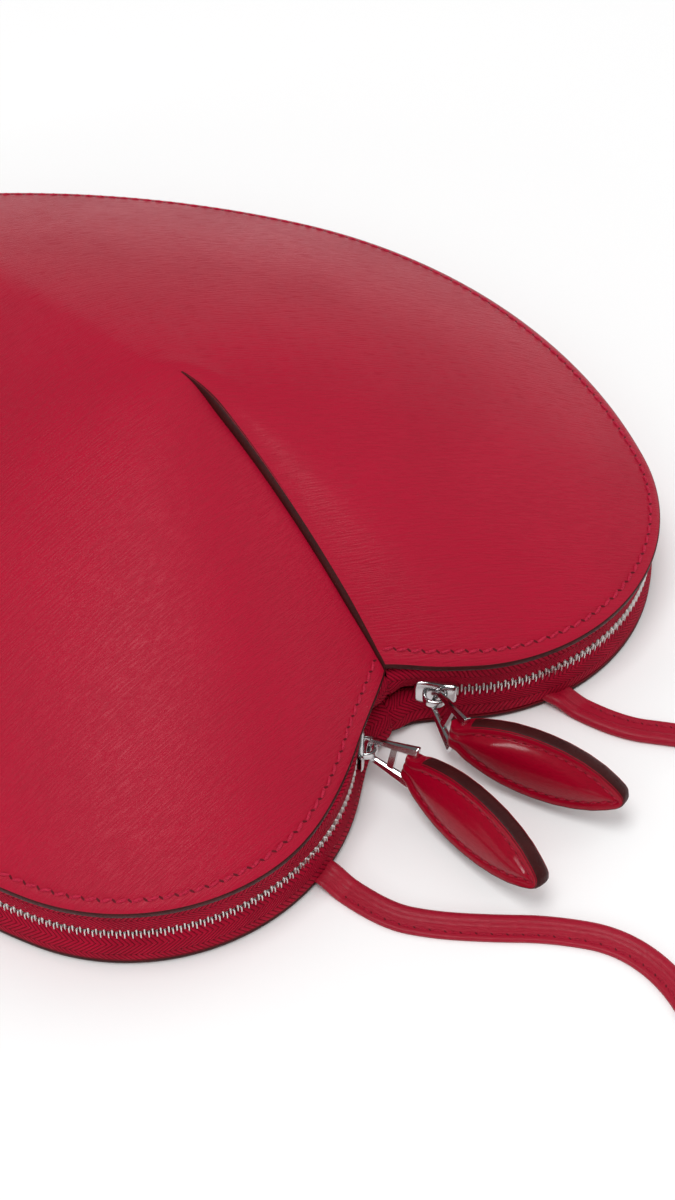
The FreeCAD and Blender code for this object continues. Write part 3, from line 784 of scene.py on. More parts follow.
@dataclass(frozen=True)
class HeartLine:
    """Right half of the heart's outline, from the notch to the tip: a straight run and four smoothly joined arcs."""

    inset: float = 0.0
    notch_angle: float = 37.0
    lobe_radius: float = 54.5 * MM
    lobe_offset: float = 52 * MM
    shoulder_radius: float = 145 * MM
    flank_radius: float = 262 * MM
    tip_radius: float = 14 * MM
    shoulder_angle: float = 25.0
    flank_angle: float = 29.5

    def arcs(self) -> Array:
        """Centre, radius, first angle and last angle of each arc, as rows.

        Returns:
            Four rows of five values, the angles in radians.
        """
        first = math.radians(-90 - self.notch_angle)
        second = math.radians(-self.shoulder_angle)
        third = math.radians(self.flank_angle)
        lobe = np.array([self.lobe_offset, 0.0])
        shoulder = lobe + (self.lobe_radius - self.shoulder_radius) * np.array([math.cos(second), math.sin(second)])
        flank = shoulder + (self.shoulder_radius - self.flank_radius) * np.array([math.cos(third), math.sin(third)])
        rise = math.sqrt((self.flank_radius - self.tip_radius) ** 2 - flank[0] ** 2)
        fourth = math.atan2(rise, -flank[0])
        rows = np.array([(*lobe, self.lobe_radius, first, second), (*shoulder, self.shoulder_radius, second, third),
                         (*flank, self.flank_radius, third, fourth),
                         (0.0, flank[1] + rise, self.tip_radius, fourth, math.pi / 2)])
        rows[:, 2] -= self.inset
        return rows

    def notch(self) -> Array:
        """Point of the line on the axis.

        Returns:
            The ground point.
        """
        x, y, radius, angle, _ = self.arcs()[0]
        end = np.array([x + radius * math.cos(angle), y + radius * math.sin(angle)])
        return np.array([0.0, end[1] + end[0] * math.tan(math.radians(self.notch_angle))])

    def ends(self) -> Array:
        """Distances from the notch to the end of the straight run and of each arc.

        Returns:
            Five distances.
        """
        arcs = self.arcs()
        start = arcs[0, :2] + arcs[0, 2] * np.array([math.cos(arcs[0, 3]), math.sin(arcs[0, 3])])
        straight = np.linalg.norm(start - self.notch())
        return straight + np.concatenate([[0.0], np.cumsum(arcs[:, 2] * (arcs[:, 4] - arcs[:, 3]))])

    def walk(self, distance: Array, side: Array | int = 1) -> tuple[Array, Array]:
        """Points at distances from the notch.

        They lie along the straight run, then at the start of an arc turned by the length run on it over its radius.

        Args:
            distance: distances along the half outline.
            side: the sign of X for each.

        Returns:
            The ground points and the outward directions.
        """
        arcs, ends = self.arcs(), self.ends()
        which = np.clip(np.searchsorted(ends, distance, side="right") - 1, -1, len(arcs) - 1)
        row = arcs[np.maximum(which, 0)]
        angle = row[..., 3] + (distance - ends[np.maximum(which, 0)]) / row[..., 2]
        outward = np.stack([np.cos(angle), np.sin(angle)], axis=-1)
        points = row[..., :2] + row[..., 2:3] * outward
        slope = math.radians(self.notch_angle)
        straight = (which < 0)[..., None]
        run = np.array([math.cos(slope), -math.sin(slope)])
        points = np.where(straight, self.notch() + distance[..., None] * run, points)
        outward = np.where(straight, np.array([-math.sin(slope), -math.cos(slope)]), outward)
        flip = np.stack(np.broadcast_arrays(side, np.ones_like(distance)), axis=-1)
        return points * flip, outward * flip

    def around(self, count: int) -> tuple[Array, Array]:
        """Distances and sides of points round the whole heart, from the notch by the right lobe and back by the left.

        Args:
            count: how many points on each half.

        Returns:
            The distances from the notch and the signs of X.
        """
        half = np.linspace(0, self.ends()[-1], count)
        return np.concatenate([half, half[::-1]]), np.concatenate([np.ones(count), -np.ones(count)])


def wall_line(depth: float = 0.0) -> HeartLine:
    """Line of the wall between the panels, where the tapes stand, drawn in by a depth."""
    return HeartLine(WALL_INSET + depth, WALL_NOTCH)


@dataclass(frozen=True)
class NotchCorner:
    """Corner of the notch, which lies off the line: to the right at the rim, towards the viewer at foot and waist."""

    rim: tuple[float, float] = (2.5 * MM, 0.0)
    foot: tuple[float, float] = (0.4 * MM, -3 * MM)
    waist: tuple[float, float] = (0.0, -4.5 * MM)
    fade: float = 6.4 * MM

    def lean(self, distance: Array, share: Array | float) -> Array:
        """Shift of points near the notch: from foot to rim by a share, and by a parabola at the waist, times a bell.

        Args:
            distance: distances from the notch, over which the shift fades like a bell.
            share: height as a share of the rim's.

        Returns:
            The shifts on the ground.
        """
        rim, foot, waist = np.array([self.rim, self.foot, self.waist])
        share = np.asarray(share)[..., None]
        bell = np.exp(-(distance / self.fade) ** 2)[..., None]
        return bell * (foot + (rim - foot) * share + waist * 4 * share * (1 - share))


def level(points: Array, height: Array | float) -> Array:
    """Ground points lifted to a height."""
    return np.concatenate([points, np.broadcast_to(height, points.shape[:-1])[..., None]], axis=-1)


# Stitches

@dataclass(frozen=True)
class Stitch:
    """One saddle stitch: a short thread that rises out of its hole and dips into the next."""

    length: float = 3.2 * MM
    width: float = 0.86 * MM
    height: float = 0.7 * MM
    slant: float = 16.0
    # Size, slant, sides and heights of the flat dark oval of painted shade at each awl hole
    hole_length: float = 1.5 * MM
    hole_width: float = 0.5 * MM
    hole_slant: float = -38.0
    stations: tuple[float, ...] = (-0.5, -0.42, -0.22, 0.0, 0.22, 0.42, 0.5)
    taper: float = 0.94
    girth: float = 0.6
    sunk: float = 0.75
    sides: int = 6
    hole_sides: int = 10
    hole_faces: tuple[float, float] = (-0.12 * MM, 0.07 * MM)
    probe: float = 0.2 * MM

    def thread(self) -> Shape:
        """Capped hexagonal bar along X whose height and width follow the root of half a sine.

        Returns:
            The points and the faces.
        """
        along = np.array(self.stations)
        swell = np.sqrt(np.cos(along * math.pi * self.taper))[:, None]
        angle = round_angles(self.sides)
        y = swell * np.cos(angle) * self.width / 2
        z = swell * np.sin(angle) * self.height * self.girth + (swell - self.sunk) * self.height
        x = np.broadcast_to((along * self.length)[:, None], y.shape)
        return lofted(np.stack([x, y, z], axis=-1))

    def pit(self) -> Shape:
        """Painted shade of the awl's slanted hole between two stitches: a flat dark oval.

        Returns:
            The points and the faces.
        """
        angle = round_angles(self.hole_sides)
        x, y = np.cos(angle) * self.hole_length / 2, np.sin(angle) * self.hole_width / 2
        ring = np.stack([x, y, 0 * angle], axis=-1)
        rise = np.array(self.hole_faces)[:, None, None] * UP
        return lofted(turned(ring, self.hole_slant)[None] + rise)

    def sew(self, name: str, path: Array, upward: Array, pitch: float, yarn: bpy.types.Material,
            hole: bpy.types.Material, body: str, slot: str) -> list[bpy.types.Object]:
        """Stitches along a path that lies on a surface.

        Args:
            name: first word of the pieces' names.
            path: points along the seam.
            upward: the surface's outward direction at each.
            pitch: distance from stitch to stitch.
            yarn, hole: finishes of the thread and of the painted shade in its holes.
            body: the body the seam rides on.
            slot: the record's material slot.

        Returns:
            The thread and the painted shade of its holes.
        """
        length = run_length(path)
        count = int(length[-1] / pitch)
        spot = (np.arange(count) + 0.5) * length[-1] / count
        before, at, after = (along_path(spot + shift, length, path) for shift in (-self.probe, 0.0, self.probe))
        up = unit(along_path(spot, length, upward))
        along = unit(after - before)
        across = unit(np.cross(up, along))
        along = np.cross(across, up)
        lean = math.radians(self.slant)
        axes = np.stack([along * math.cos(lean) + across * math.sin(lean),
                         across * math.cos(lean) - along * math.sin(lean), up], axis=1)
        thread = repeated(name + "_thread", *self.thread(), at, axes)
        # Painted shade of the holes: flat dark ovals half a pitch on from each stitch
        hole_shades = repeated(name + "_holes", *self.pit(), at + along * pitch / 2, np.stack([along, across, up], axis=1))
        return [dress(thread, yarn, body, slot), dress(hole_shades, hole, body, slot)]


@dataclass(frozen=True)
class EdgeBead:
    """Painted edge: a band that laps a little over both faces of the leather and bulges out between them."""

    lap: float = 0.15 * MM
    bulge: float = 0.16 * MM
    proud: float = 0.05 * MM
    sunk: float = 0.2 * MM
    root: float = 0.5 * MM
    shoulder: float = 0.22
    crest: float = 1.25

    def build(self, name: str, top: Array, under: Array, outward: Array) -> bpy.types.Object:
        """Nine points round the band, from its root in the upper face over the bulge to its root in the lower.

        Args:
            name: the piece's name.
            top, under: points along the edge of the two faces.
            outward: the direction out of the edge at each.

        Returns:
            The piece.
        """
        up = unit(top - under)
        rise, dip = up * self.proud, up * self.sunk
        over, back = outward * self.lap, outward * (self.lap + self.root)
        fall, bulge = (under - top) * self.shoulder, outward * self.bulge
        rings = [top - back - dip, top - over + rise, top + rise, top + fall + bulge,
                 (top + under) / 2 + bulge * self.crest, under - fall + bulge, under - rise, under - over - rise,
                 under - back + dip]
        return tube(name, np.stack(rings, axis=1), sharp=75.0)


# Panels

# Points round the slit's painted edge: shares of the fall and of the swell, then millimetres to the left and up
SLIT_SECTION = np.array([(0, 0, -0.9, -0.3), (0, 0, -0.25, 0.05), (0.12, 0.55, 0, 0), (0.4, 1, 0, 0),
                         (0.72, 0.8, 0, 0), (1, 0, 0.1, 0.02), (1, 0, 0, -0.5), (0.4, 0, 0, -1.1)])


@dataclass
class FrontPanel:
    """Domed front: flat leather drawn up into a rounded cone by the slit, whose right edge laps over its left."""

    rise: float = 44 * MM
    crown: float = 0.45
    rounding: float = 0.06
    dart: float = 77.6 * MM
    slit_top: float = 4.9 * MM
    slit_notch: float = 2.6 * MM
    slit_reach: float = 12 * MM
    slit_edge: float = 1.5 * MM
    slit_swell: float = 0.16
    slit_opens: float = 0.22
    slit_tip: float = 1.5 * MM
    tip_reach: float = 0.05
    closing: float = 42.0
    lip: float = 2.5 * MM
    lip_reach: float = 16 * MM
    lip_top: float = 0.4
    notch_lip: float = 0.55
    notch_from: float = 0.8
    tuck: float = 1.6 * MM
    tuck_at: float = 34 * MM
    tuck_reach: float = 18 * MM
    seam: float = 2.6 * MM
    groove: float = 0.16 * MM
    groove_width: float = 0.8 * MM
    pitch: float = 3.5 * MM
    seam_starts: tuple[float, float] = (0.8 * MM, 2.6 * MM)
    seam_probe: float = 0.002
    rim_round: float = 0.25 * MM
    rim_reach: float = 0.5 * MM
    lining_gap: float = 0.02 * MM
    lining_rows: int = 54
    first_row: float = 0.006
    fine_from: float = 0.9
    rows: tuple[int, int] = (56, 40)
    columns: int = 260

    def centre(self) -> Array:
        """Ground point under the slit's inner end, before the slit leans."""
        return HeartLine().notch() + np.array([0.0, self.dart])

    def reach(self, distance: Array, side: Array) -> Array:
        """Distance from the slit's inner end to the outline's tangent at each point."""
        points, outward = HeartLine().walk(distance, side)
        return ((points - self.centre()) * outward).sum(axis=-1)

    def surface(self, distance: Array, share: Array, side: Array) -> Array:
        """Outer surface: the outline drawn in to a share of its size about the slit's inner end.

        Its height over the rim is the rise times one less w times one plus crown times w, where w is the share with
        its start rounded like a hyperbola. The left rim is tucked in a little beyond the notch. The slit leans to the
        right, and beside it the right half stands proud by the lip, which fades with its reach. A shallow groove
        follows the seam, and the rim is rounded off.

        Args:
            distance: distances along the half outline.
            share: share of the outline's size, 1 at the rim and 0 at the top.
            side: the sign of X.

        Returns:
            The points.
        """
        points, outward = HeartLine().walk(distance, side)
        tuck = np.where(side < 0, self.tuck * np.exp(-((distance - self.tuck_at) / self.tuck_reach) ** 2), 0.0)
        points = points - outward * (tuck * share ** 2)[..., None]
        ground = self.centre() + (points - self.centre()) * share[..., None]
        beside = distance * share
        lean = self.slit_top + (self.slit_notch - self.slit_top) * share ** 2
        lean = lean - self.slit_tip * np.exp(-share / self.tip_reach)
        lean = lean * np.exp(-(beside / self.slit_reach) ** 2)
        ground = ground + np.stack([lean, 0 * lean], axis=-1)
        bend = self.rounding
        w = (np.sqrt(share ** 2 + bend ** 2) - bend) / (math.sqrt(1 + bend ** 2) - bend)
        height = RIM + self.rise * (1 - w) * (1 + self.crown * w)
        near = np.exp(-beside / (self.lip_reach * (self.lip_top + (1 - self.lip_top) * share)))
        height = height + np.where(side > 0, self.lip * near * self.opened(share), 0.0)
        inward = (1 - share) * self.reach(distance, side)
        height = height - self.groove * np.exp(-((inward - self.seam) / self.groove_width) ** 2)
        height = height - self.rim_round * np.exp(-(inward / self.rim_reach) ** 2)
        return level(ground, height)

    def opened(self, share: Array) -> Array:
        """How far the slit's edge shows, as a share: it opens soon after the top and closes a little at the notch."""
        closing = smooth((share - self.notch_from) / (1 - self.notch_from))
        return smooth(share / self.slit_opens) * (1 - (1 - self.notch_lip) * closing)

    def laid_flat(self, points: Array, side: Array) -> Array:
        """Where points of the dome lie on the leather before the slit was closed.

        A point keeps its distance from the top. Its angle round the top, counted from the slit's left edge, is
        smaller by the share of the turn that the slit took up.

        Args:
            points: points of the surface.
            side: the sign of X.

        Returns:
            Pairs of pattern coordinates, in metres.
        """
        away = points - level(self.centre() + np.array([self.slit_top, 0.0]), RIM + self.rise)
        angle = np.degrees(np.arctan2(away[..., 1], away[..., 0]))
        angle = np.where(side < 0, angle % 360, np.where(angle < -135, angle + 360, angle))
        angle = np.radians(-90 - (270 - angle) * (1 - self.closing / 360))
        reach = np.linalg.norm(away, axis=-1, keepdims=True)
        return reach * np.stack([np.cos(angle), np.sin(angle)], axis=-1)

    def build(self, finishes: Finishes) -> None:
        """Makes the leather shell, its painted edges, the seam and the lining.

        Args:
            finishes: the purse's finishes.
        """
        distance, side = HeartLine().around(self.columns)
        coarse, fine = self.rows
        share = np.linspace(self.first_row, self.fine_from, coarse, endpoint=False)
        share = np.concatenate([share, np.linspace(self.fine_from, 1.0, fine)])
        across = np.broadcast_arrays(distance[None], share[:, None], side[None])
        top = self.surface(*across)
        under = top - UP * LEATHER
        uv = self.laid_flat(top, across[2])
        self.shell("front_leather_panel", top, under, uv, finishes.panel, "front_leather", "front_panel")
        cloth = under[:self.lining_rows] - UP * self.lining_gap
        self.shell("front_lining_cloth", cloth, cloth - UP * LINING, uv[:self.lining_rows], finishes.lining, "lining",
                   "front_lining")
        outward = level(HeartLine().walk(distance, side)[1], 0.0)
        dress(EdgeBead().build("front_rim_paint", top[-1], under[-1], outward), finishes.edge, "bag", "edge")
        self.paint_slit(share[1:], finishes)
        self.sew(finishes)

    def shell(self, name: str, top: Array, under: Array, uv: Array, material: bpy.types.Material, slot: str,
              node: str) -> None:
        """Closed shell between two grids with rows from the top to the rim.

        The first and last columns meet at the slit, where the wall between them closes the step.

        Args:
            name: the piece's name.
            top, under: the two grids.
            uv: pattern coordinates of both.
            material: its finish.
            slot: the record's material slot.
            node: the node it replaces.
        """
        rows = np.concatenate([top, under[::-1]])
        rows = np.concatenate([rows, rows[:, :1]], axis=1)
        pattern = np.concatenate([uv, uv[::-1]])
        pattern = np.concatenate([pattern, pattern[:, -1:]], axis=1)
        count, width = rows.shape[:2]
        faces = grid_faces(count, width) + end_faces(count, width, width - 1)
        dress(add_piece(name, rows, faces, pattern), material, "bag", slot, node)

    def paint_slit(self, share: Array, finishes: Finishes) -> None:
        """Painted edge of the overlap, along the slit: a rounded face from the crest down to the left half.

        Args:
            share: the panel's rows, from the top to the rim.
            finishes: the purse's finishes.
        """
        left = np.array([-1.0, 0, 0])
        wide = self.slit_edge * self.opened(share)
        crest = self.surface(0 * share, share, 1 + 0 * share)
        foot = self.surface(wide / share, share, -1 + 0 * share)
        swell = (wide * self.slit_swell)[:, None] * (UP + left)
        down, out, aside, above = np.split(SLIT_SECTION, 4, axis=1)
        rings = crest[:, None] + (foot - crest)[:, None] * down + swell[:, None] * out
        rings = rings + (left * aside + UP * above) * MM
        dress(tube("slit_paint", rings, sharp=75.0), finishes.edge, "bag", "edge")

    def sew(self, finishes: Finishes) -> None:
        """Saddle stitch inside the rim, from one side of the notch to the other.

        Args:
            finishes: the purse's finishes.
        """
        distance, side = HeartLine().around(SEAM_POINTS)
        keep = distance > np.where(side > 0, *self.seam_starts)
        distance, side = distance[keep], side[keep]
        share = 1 - self.seam / self.reach(distance, side)
        path = self.surface(distance, share, side)
        probes = (self.surface(distance, share + step, side) for step in (-self.seam_probe, self.seam_probe))
        inner = np.subtract(*probes)
        upward = unit(np.cross(np.gradient(path, axis=0), inner))
        upward = upward * np.sign(upward[:, 2:3])
        Stitch().sew("rim_stitch", path, upward, self.pitch, finishes.thread, finishes.hole, "bag", "front_leather")


@dataclass
class BackPanel:
    """Flat back with the same outline, its lining, and the wall round the tip."""

    margin: float = 0.12 * MM
    edge_round: float = 0.35 * MM
    lining_inset: float = 10 * MM
    lining_round: float = 0.2 * MM
    paint: float = 0.4 * MM
    paint_gap: float = 0.06 * MM
    paint_lift: float = 0.04 * MM
    paint_sides: int = 10
    belly: float = 0.5 * MM
    wall_columns: int = 90
    wall_rows: int = 13
    seam: float = 4 * MM
    seam_start: float = 1.2 * MM
    seam_height: float = 0.14 * MM
    pitch: float = 3.5 * MM
    stitch: Stitch = Stitch(height=0.2 * MM)
    shares: tuple[float, ...] = (0.01, 0.2, 0.4, 0.6, 0.8, 0.93)
    curve_rows: int = 5
    columns: int = 220

    def plate(self, name: str, inset: float, bottom: float, top: float, round_off: float) -> bpy.types.Object:
        """Plate with the heart's outline: rings drawn in about a middle point, the edge rounded.

        Args:
            name: the piece's name.
            inset: how far the outline is drawn in.
            bottom, top: heights of the two faces.
            round_off: radius of the edges.

        Returns:
            The piece.
        """
        line = HeartLine(inset)
        distance, side = line.around(self.columns)
        points, outward = line.walk(distance, side)
        points = points + NotchCorner().lean(distance, 0.0) * (inset < self.seam)
        middle = FrontPanel().centre()
        flat = middle + (points - middle) * np.array(self.shares)[:, None, None]
        turn = np.linspace(0, math.pi / 2, self.curve_rows)
        curve = points - outward * (round_off * (1 - np.sin(turn)))[:, None, None]
        lift = round_off * (1 - np.cos(turn))
        rows = [level(flat, bottom), level(curve, (bottom + lift)[:, None])]
        rows += [level(curve[::-1], (top - lift[::-1])[:, None]), level(flat[::-1], top)]
        rows = np.concatenate(rows)
        count, width = rows.shape[:2]
        return add_piece(name, rows, grid_faces(count, width) + end_faces(count, width, width))

    def build(self, finishes: Finishes) -> None:
        """Makes the back, its painted edge and seam, the lining and the wall round the tip.

        Args:
            finishes: the purse's finishes.
        """
        back = self.plate("back_leather_panel", self.margin, self.margin, LEATHER, self.edge_round)
        dress(back, finishes.back, "bag", "back_leather", "back_panel")
        line = HeartLine()
        distance, side = line.around(self.columns)
        points, outward = line.walk(distance, side)
        points = points + NotchCorner().lean(distance, 0.0)
        angle = round_angles(self.paint_sides)
        out = (np.cos(angle) - 1) * self.paint
        up = np.sin(angle) * (LEATHER / 2 - self.paint_gap) + LEATHER / 2 + self.paint_lift
        ring = points[:, None] + outward[:, None] * out[:, None]
        dress(tube("back_rim_paint", level(ring, up), sharp=70.0), finishes.edge, "bag", "edge")
        cloth = self.plate("back_lining_cloth", self.lining_inset, LEATHER, LEATHER + LINING, self.lining_round)
        dress(cloth, finishes.lining, "bag", "lining", "back_lining")
        self.wall(finishes)
        self.sew(finishes)

    def wall(self, finishes: Finishes) -> None:
        """Leather wall round the tip from one zip's end to the other's: an upright strip, slightly bellied.

        Args:
            finishes: the purse's finishes.
        """
        line = wall_line()
        half = np.linspace(line.ends()[2], line.ends()[-1], self.wall_columns)
        distance = np.concatenate([half, half[-2::-1]])
        side = np.where(np.arange(len(distance)) < self.wall_columns, 1.0, -1.0)
        points, outward = line.walk(distance, side)
        share = np.linspace(0, 1, self.wall_rows)
        belly = np.sin(share * math.pi) * self.belly
        out = np.concatenate([belly, belly[::-1] - LEATHER])
        up = LEATHER + (RIM - 2 * LEATHER) * np.concatenate([share, share[::-1]])
        rings = level(points[:, None] + outward[:, None] * out[:, None], up)
        dress(tube("tip_wall", rings), finishes.back, "bag", "back_leather", "base_gusset")

    def sew(self, finishes: Finishes) -> None:
        """Saddle stitch inside the back's rim, flush with its face.

        Args:
            finishes: the purse's finishes.
        """
        line = HeartLine(self.seam)
        distance, side = line.around(SEAM_POINTS)
        keep = distance > self.seam_start
        distance, side = distance[keep], side[keep]
        path = level(line.walk(distance, side)[0] + NotchCorner().lean(distance, 0.0), self.seam_height)
        self.stitch.sew("back_stitch", path, np.broadcast_to(-UP, path.shape), self.pitch, finishes.thread,
                        finishes.hole, "bag", "back_leather")


# Zip

@dataclass
class Zip:
    """Two tapes and two rows of teeth on each side, parted at the notch."""

    turn_in: float = 6.4 * MM
    rim_insets: tuple[float, float] = (1.3 * MM, 0.8 * MM)
    foot_insets: tuple[float, float] = (0.0, -0.3 * MM)
    flare: float = 0.7
    bend: float = 1.0 * MM
    belly: float = 0.35 * MM
    end_gap: float = 0.15 * MM
    chain: float = 4.5 * MM
    meeting: float = 0.2 * MM
    parting: float = 0.5 * MM
    part_run: float = 3 * MM
    chain_lead: float = 1.0
    pitch: float = 1.8 * MM
    tooth_width: float = 0.64 * MM
    tooth_depth: float = 2.2 * MM
    overlap: float = 0.9 * MM
    bottom_stop: float = 3 * MM
    stop_clearance: float = 0.8 * MM
    head: float = 0.3 * MM
    waist: float = 0.1 * MM
    heel: float = 0.9 * MM
    foot: float = 0.25 * MM
    tooth_scales: tuple[float, ...] = (0.5, 0.92, 1.0, 1.0, 0.9, 0.5)
    tooth_sides: int = 8
    web_points: int = 9
    bend_points: int = 5
    flat_points: int = 4
    columns: tuple[int, int] = (150, 90)

    def chain_start(self) -> float:
        """Distance from the notch to where the tapes meet: inside the slider's rear half and past the lobe's start.

        Returns:
            The distance.
        """
        quarter = math.degrees(SLIDER_LENGTH / 4 / HeartLine().lobe_radius)
        past = max(90 + WALL_NOTCH - SLIDER_ANGLE + quarter, self.chain_lead)
        line = wall_line()
        return line.ends()[0] + math.radians(past) * line.arcs()[0, 2]

    def edge(self, distance: Array) -> Array:
        """Height of the upper tape's lower edge: on the chain, and parting from it towards the notch."""
        apart = 1 - smooth((distance - self.chain_start() + self.part_run) / self.part_run)
        return RIM / 2 + self.meeting + self.parting * apart

    def web(self, distance: Array) -> Array:
        """Section of the upper tape at each distance: up its web, round the bend and in under the panel.

        Args:
            distance: distances from the notch.

        Returns:
            For each distance, pairs of inset and height along the tape's middle.
        """
        top = RIM - LEATHER - TAPE / 2
        foot = self.edge(distance)[:, None]
        share = np.linspace(0, 1, self.web_points)
        tall = top - self.bend - foot
        up = foot + tall * share
        out = TAPE / 2 - self.belly * np.sin(share * math.pi) + 0 * up
        angle = np.linspace(0, math.pi / 2, self.bend_points)[1:]
        bend_in = TAPE / 2 + self.bend * (1 - np.cos(angle)) + 0 * foot
        bend_up = top - self.bend + self.bend * np.sin(angle) + 0 * foot
        rest = np.linspace(0, 1, self.flat_points)[1:]
        flat_in = TAPE / 2 + self.bend + (self.turn_in - self.bend) * rest + 0 * foot
        inward = np.concatenate([out, bend_in, flat_in], axis=1)
        height = np.concatenate([up, bend_up, top + 0 * flat_in], axis=1)
        return np.stack([inward, height], axis=-1)

    def make_tape(self, side: Side, row: Level, finishes: Finishes) -> None:
        """One tape: its section, thickened both ways, carried along the heart's line.

        From the chain to the panel the section moves from the chain's line to a line beside the panel's rim.

        Args:
            side: which half.
            row: which row.
            finishes: the purse's finishes.
        """
        line = wall_line()
        rim = HeartLine(side.pick(self.rim_insets if row is Level.UPPER else self.foot_insets))
        first = self.end_gap / math.cos(math.radians(WALL_NOTCH))
        near, far = self.columns
        distance = np.linspace(first, line.ends()[1], near, endpoint=False)
        distance = np.concatenate([distance, np.linspace(line.ends()[1], line.ends()[2], far)])
        points, outward = line.walk(distance, side.value)
        beside = np.interp(distance, [0, *line.ends()], [0, *rim.ends()])
        apart = rim.walk(beside, side.value)[0] - points
        middle = self.web(distance)
        run = unit(np.gradient(middle, axis=1))
        across = np.stack([run[..., 1], -run[..., 0]], axis=-1) * TAPE / 2
        section = np.concatenate([middle - across, (middle + across)[:, ::-1]], axis=1)
        share = np.ones(middle.shape[1])
        share[:self.web_points] = np.linspace(0, 1, self.web_points) ** self.flare
        share = np.concatenate([share, share[::-1]])
        ground = points[:, None] + apart[:, None] * share[:, None] - outward[:, None] * section[..., :1]
        height = section[..., 1] if row is Level.UPPER else RIM - section[..., 1]
        ground = ground + NotchCorner().lean(distance[:, None], height / RIM)
        name = f"{row.word}_tape_{side.word}"
        piece = tube(name + "_weave", level(ground, height), sharp=60.0)
        dress(piece, finishes.tape, "bag", "tape", name)

    def tooth(self) -> Shape:
        """Tooth of the upper row: an eight-sided bar, rounded at its head and narrowed at its foot on the tape.

        Returns:
            The points and the faces, with X along the zip, Y outwards and Z up from the chain's middle.
        """
        half = self.chain / 2
        up = [-self.overlap, self.head - self.overlap, -self.waist, half - self.heel, half - self.foot, half]
        scale = np.array(self.tooth_scales)[:, None] / math.cos(math.pi / self.tooth_sides) / 2
        angle = round_angles(self.tooth_sides) + math.pi / self.tooth_sides
        x = scale * np.cos(angle) * self.tooth_width
        y = scale * np.sin(angle) * self.tooth_depth
        return lofted(np.stack([x, y, np.broadcast_to(np.array(up)[:, None], x.shape)], axis=-1))

    def make_teeth(self, side: Side, row: Level, finishes: Finishes) -> None:
        """One row of teeth along the chain.

        Args:
            side: which half.
            row: which row.
            finishes: the purse's finishes.
        """
        line, face = wall_line(TAPE / 2), wall_line()
        start = self.chain_start() - face.ends()[0]
        start = line.ends()[0] + start * line.arcs()[0, 2] / face.arcs()[0, 2]
        length = line.ends()[2] - start
        first = self.pitch / 2 if row is Level.UPPER else self.pitch
        count = int((length - self.bottom_stop - self.stop_clearance - first) / self.pitch)
        points, outward = line.walk(start + first + np.arange(count) * self.pitch, side.value)
        outward = level(outward, 0.0)
        up = np.broadcast_to(UP * row.value, outward.shape)
        axes = np.stack([np.cross(outward, up), outward, up], axis=1)
        name = f"{row.word}_teeth_{side.word}"
        piece = repeated(name + "_bars", *self.tooth(), level(points, RIM / 2), axes)
        dress(piece, finishes.nickel, "bag", "nickel", name)

    def build(self, finishes: Finishes) -> None:
        """Makes every tape and row of teeth and finishes the stops.

        Args:
            finishes: the purse's finishes.
        """
        for side in Side:
            for row in Level:
                self.make_tape(side, row, finishes)
                self.make_teeth(side, row, finishes)
            for node in ("top_stops_", "bottom_stop_"):
                finish_node(node + side.word, finishes.nickel)


def finish_node(node: str, material: bpy.types.Material) -> None:
    """Gives a node of the frame its finish.

    Args:
        node: the node's name.
        material: its finish.
    """
    target = frame["nodes"][node]
    target.data.materials.clear()
    target.data.materials.append(material)
    LOG.info("%s finished", node)


# Sliders, pulls and drops

# Half height of a slider's plates at places along them
SLIDER_PLATE = np.array([(-5.25, 3.7), (-4.6, 4.2), (-3.4, 4.4), (-1.6, 4.25), (0.2, 3.85), (2.2, 3.45),
                         (5.25, 3.3)]) * MM

# Points round a plate and its flanges: millimetres out, share of the half height, millimetres up
SLIDER_CHANNEL = np.array([(1.1, -1, 0), (1.75, -1, 0.06), (2.2, -1, 0.3), (2.46, -1, 0.85), (2.58, -0.45, 0),
                           (2.62, 0, 0), (2.58, 0.45, 0), (2.46, 1, -0.85), (2.2, 1, -0.3), (1.75, 1, -0.06),
                           (1.1, 1, 0), (1.1, 1, -0.9), (1.6, 1, -0.9), (1.6, 0, 0), (1.6, -1, 0.9), (1.1, -1, 0.9)])

# Outline of the post between the plates: along the chain and up
SLIDER_POST = np.array([(-5, 0), (-4.3, 0.9), (-3.2, 1.3), (-1.8, 0.9), (-0.7, 0), (-1.8, -0.9), (-3.2, -1.3),
                        (-4.3, -0.9)]) * MM

# Bevelled section of a pull: share of the way from its outer loop to its inner, and share of its thickness
PULL_BEVEL = np.array([(0.0, 0.24), (0.2, 0.5), (0.8, 0.5), (1.0, 0.24), (1.0, -0.24), (0.8, -0.5), (0.2, -0.5),
                       (0.0, -0.24)])

# Half width of a drop at distances from its bar
DROP_OUTLINE = np.array([(-2.4, 3), (-1, 3.05), (0.6, 3.2), (1.6, 4), (2.6, 4.7), (4.2, 5.4), (6.2, 6.1), (9, 7),
                         (13, 7.9), (18, 8.38), (22, 8.4), (27, 8), (32, 7), (36.5, 5.5), (40, 3.7), (42.2, 2.3),
                         (43.1, 1.4), (43.5, 0)]) * MM

# Steps in from a drop's edge, past the seam
DROP_STEPS = np.array([0, 0.12, 0.4, 0.9, 1.4, 1.8, 2.2, 2.55, 2.9]) * MM


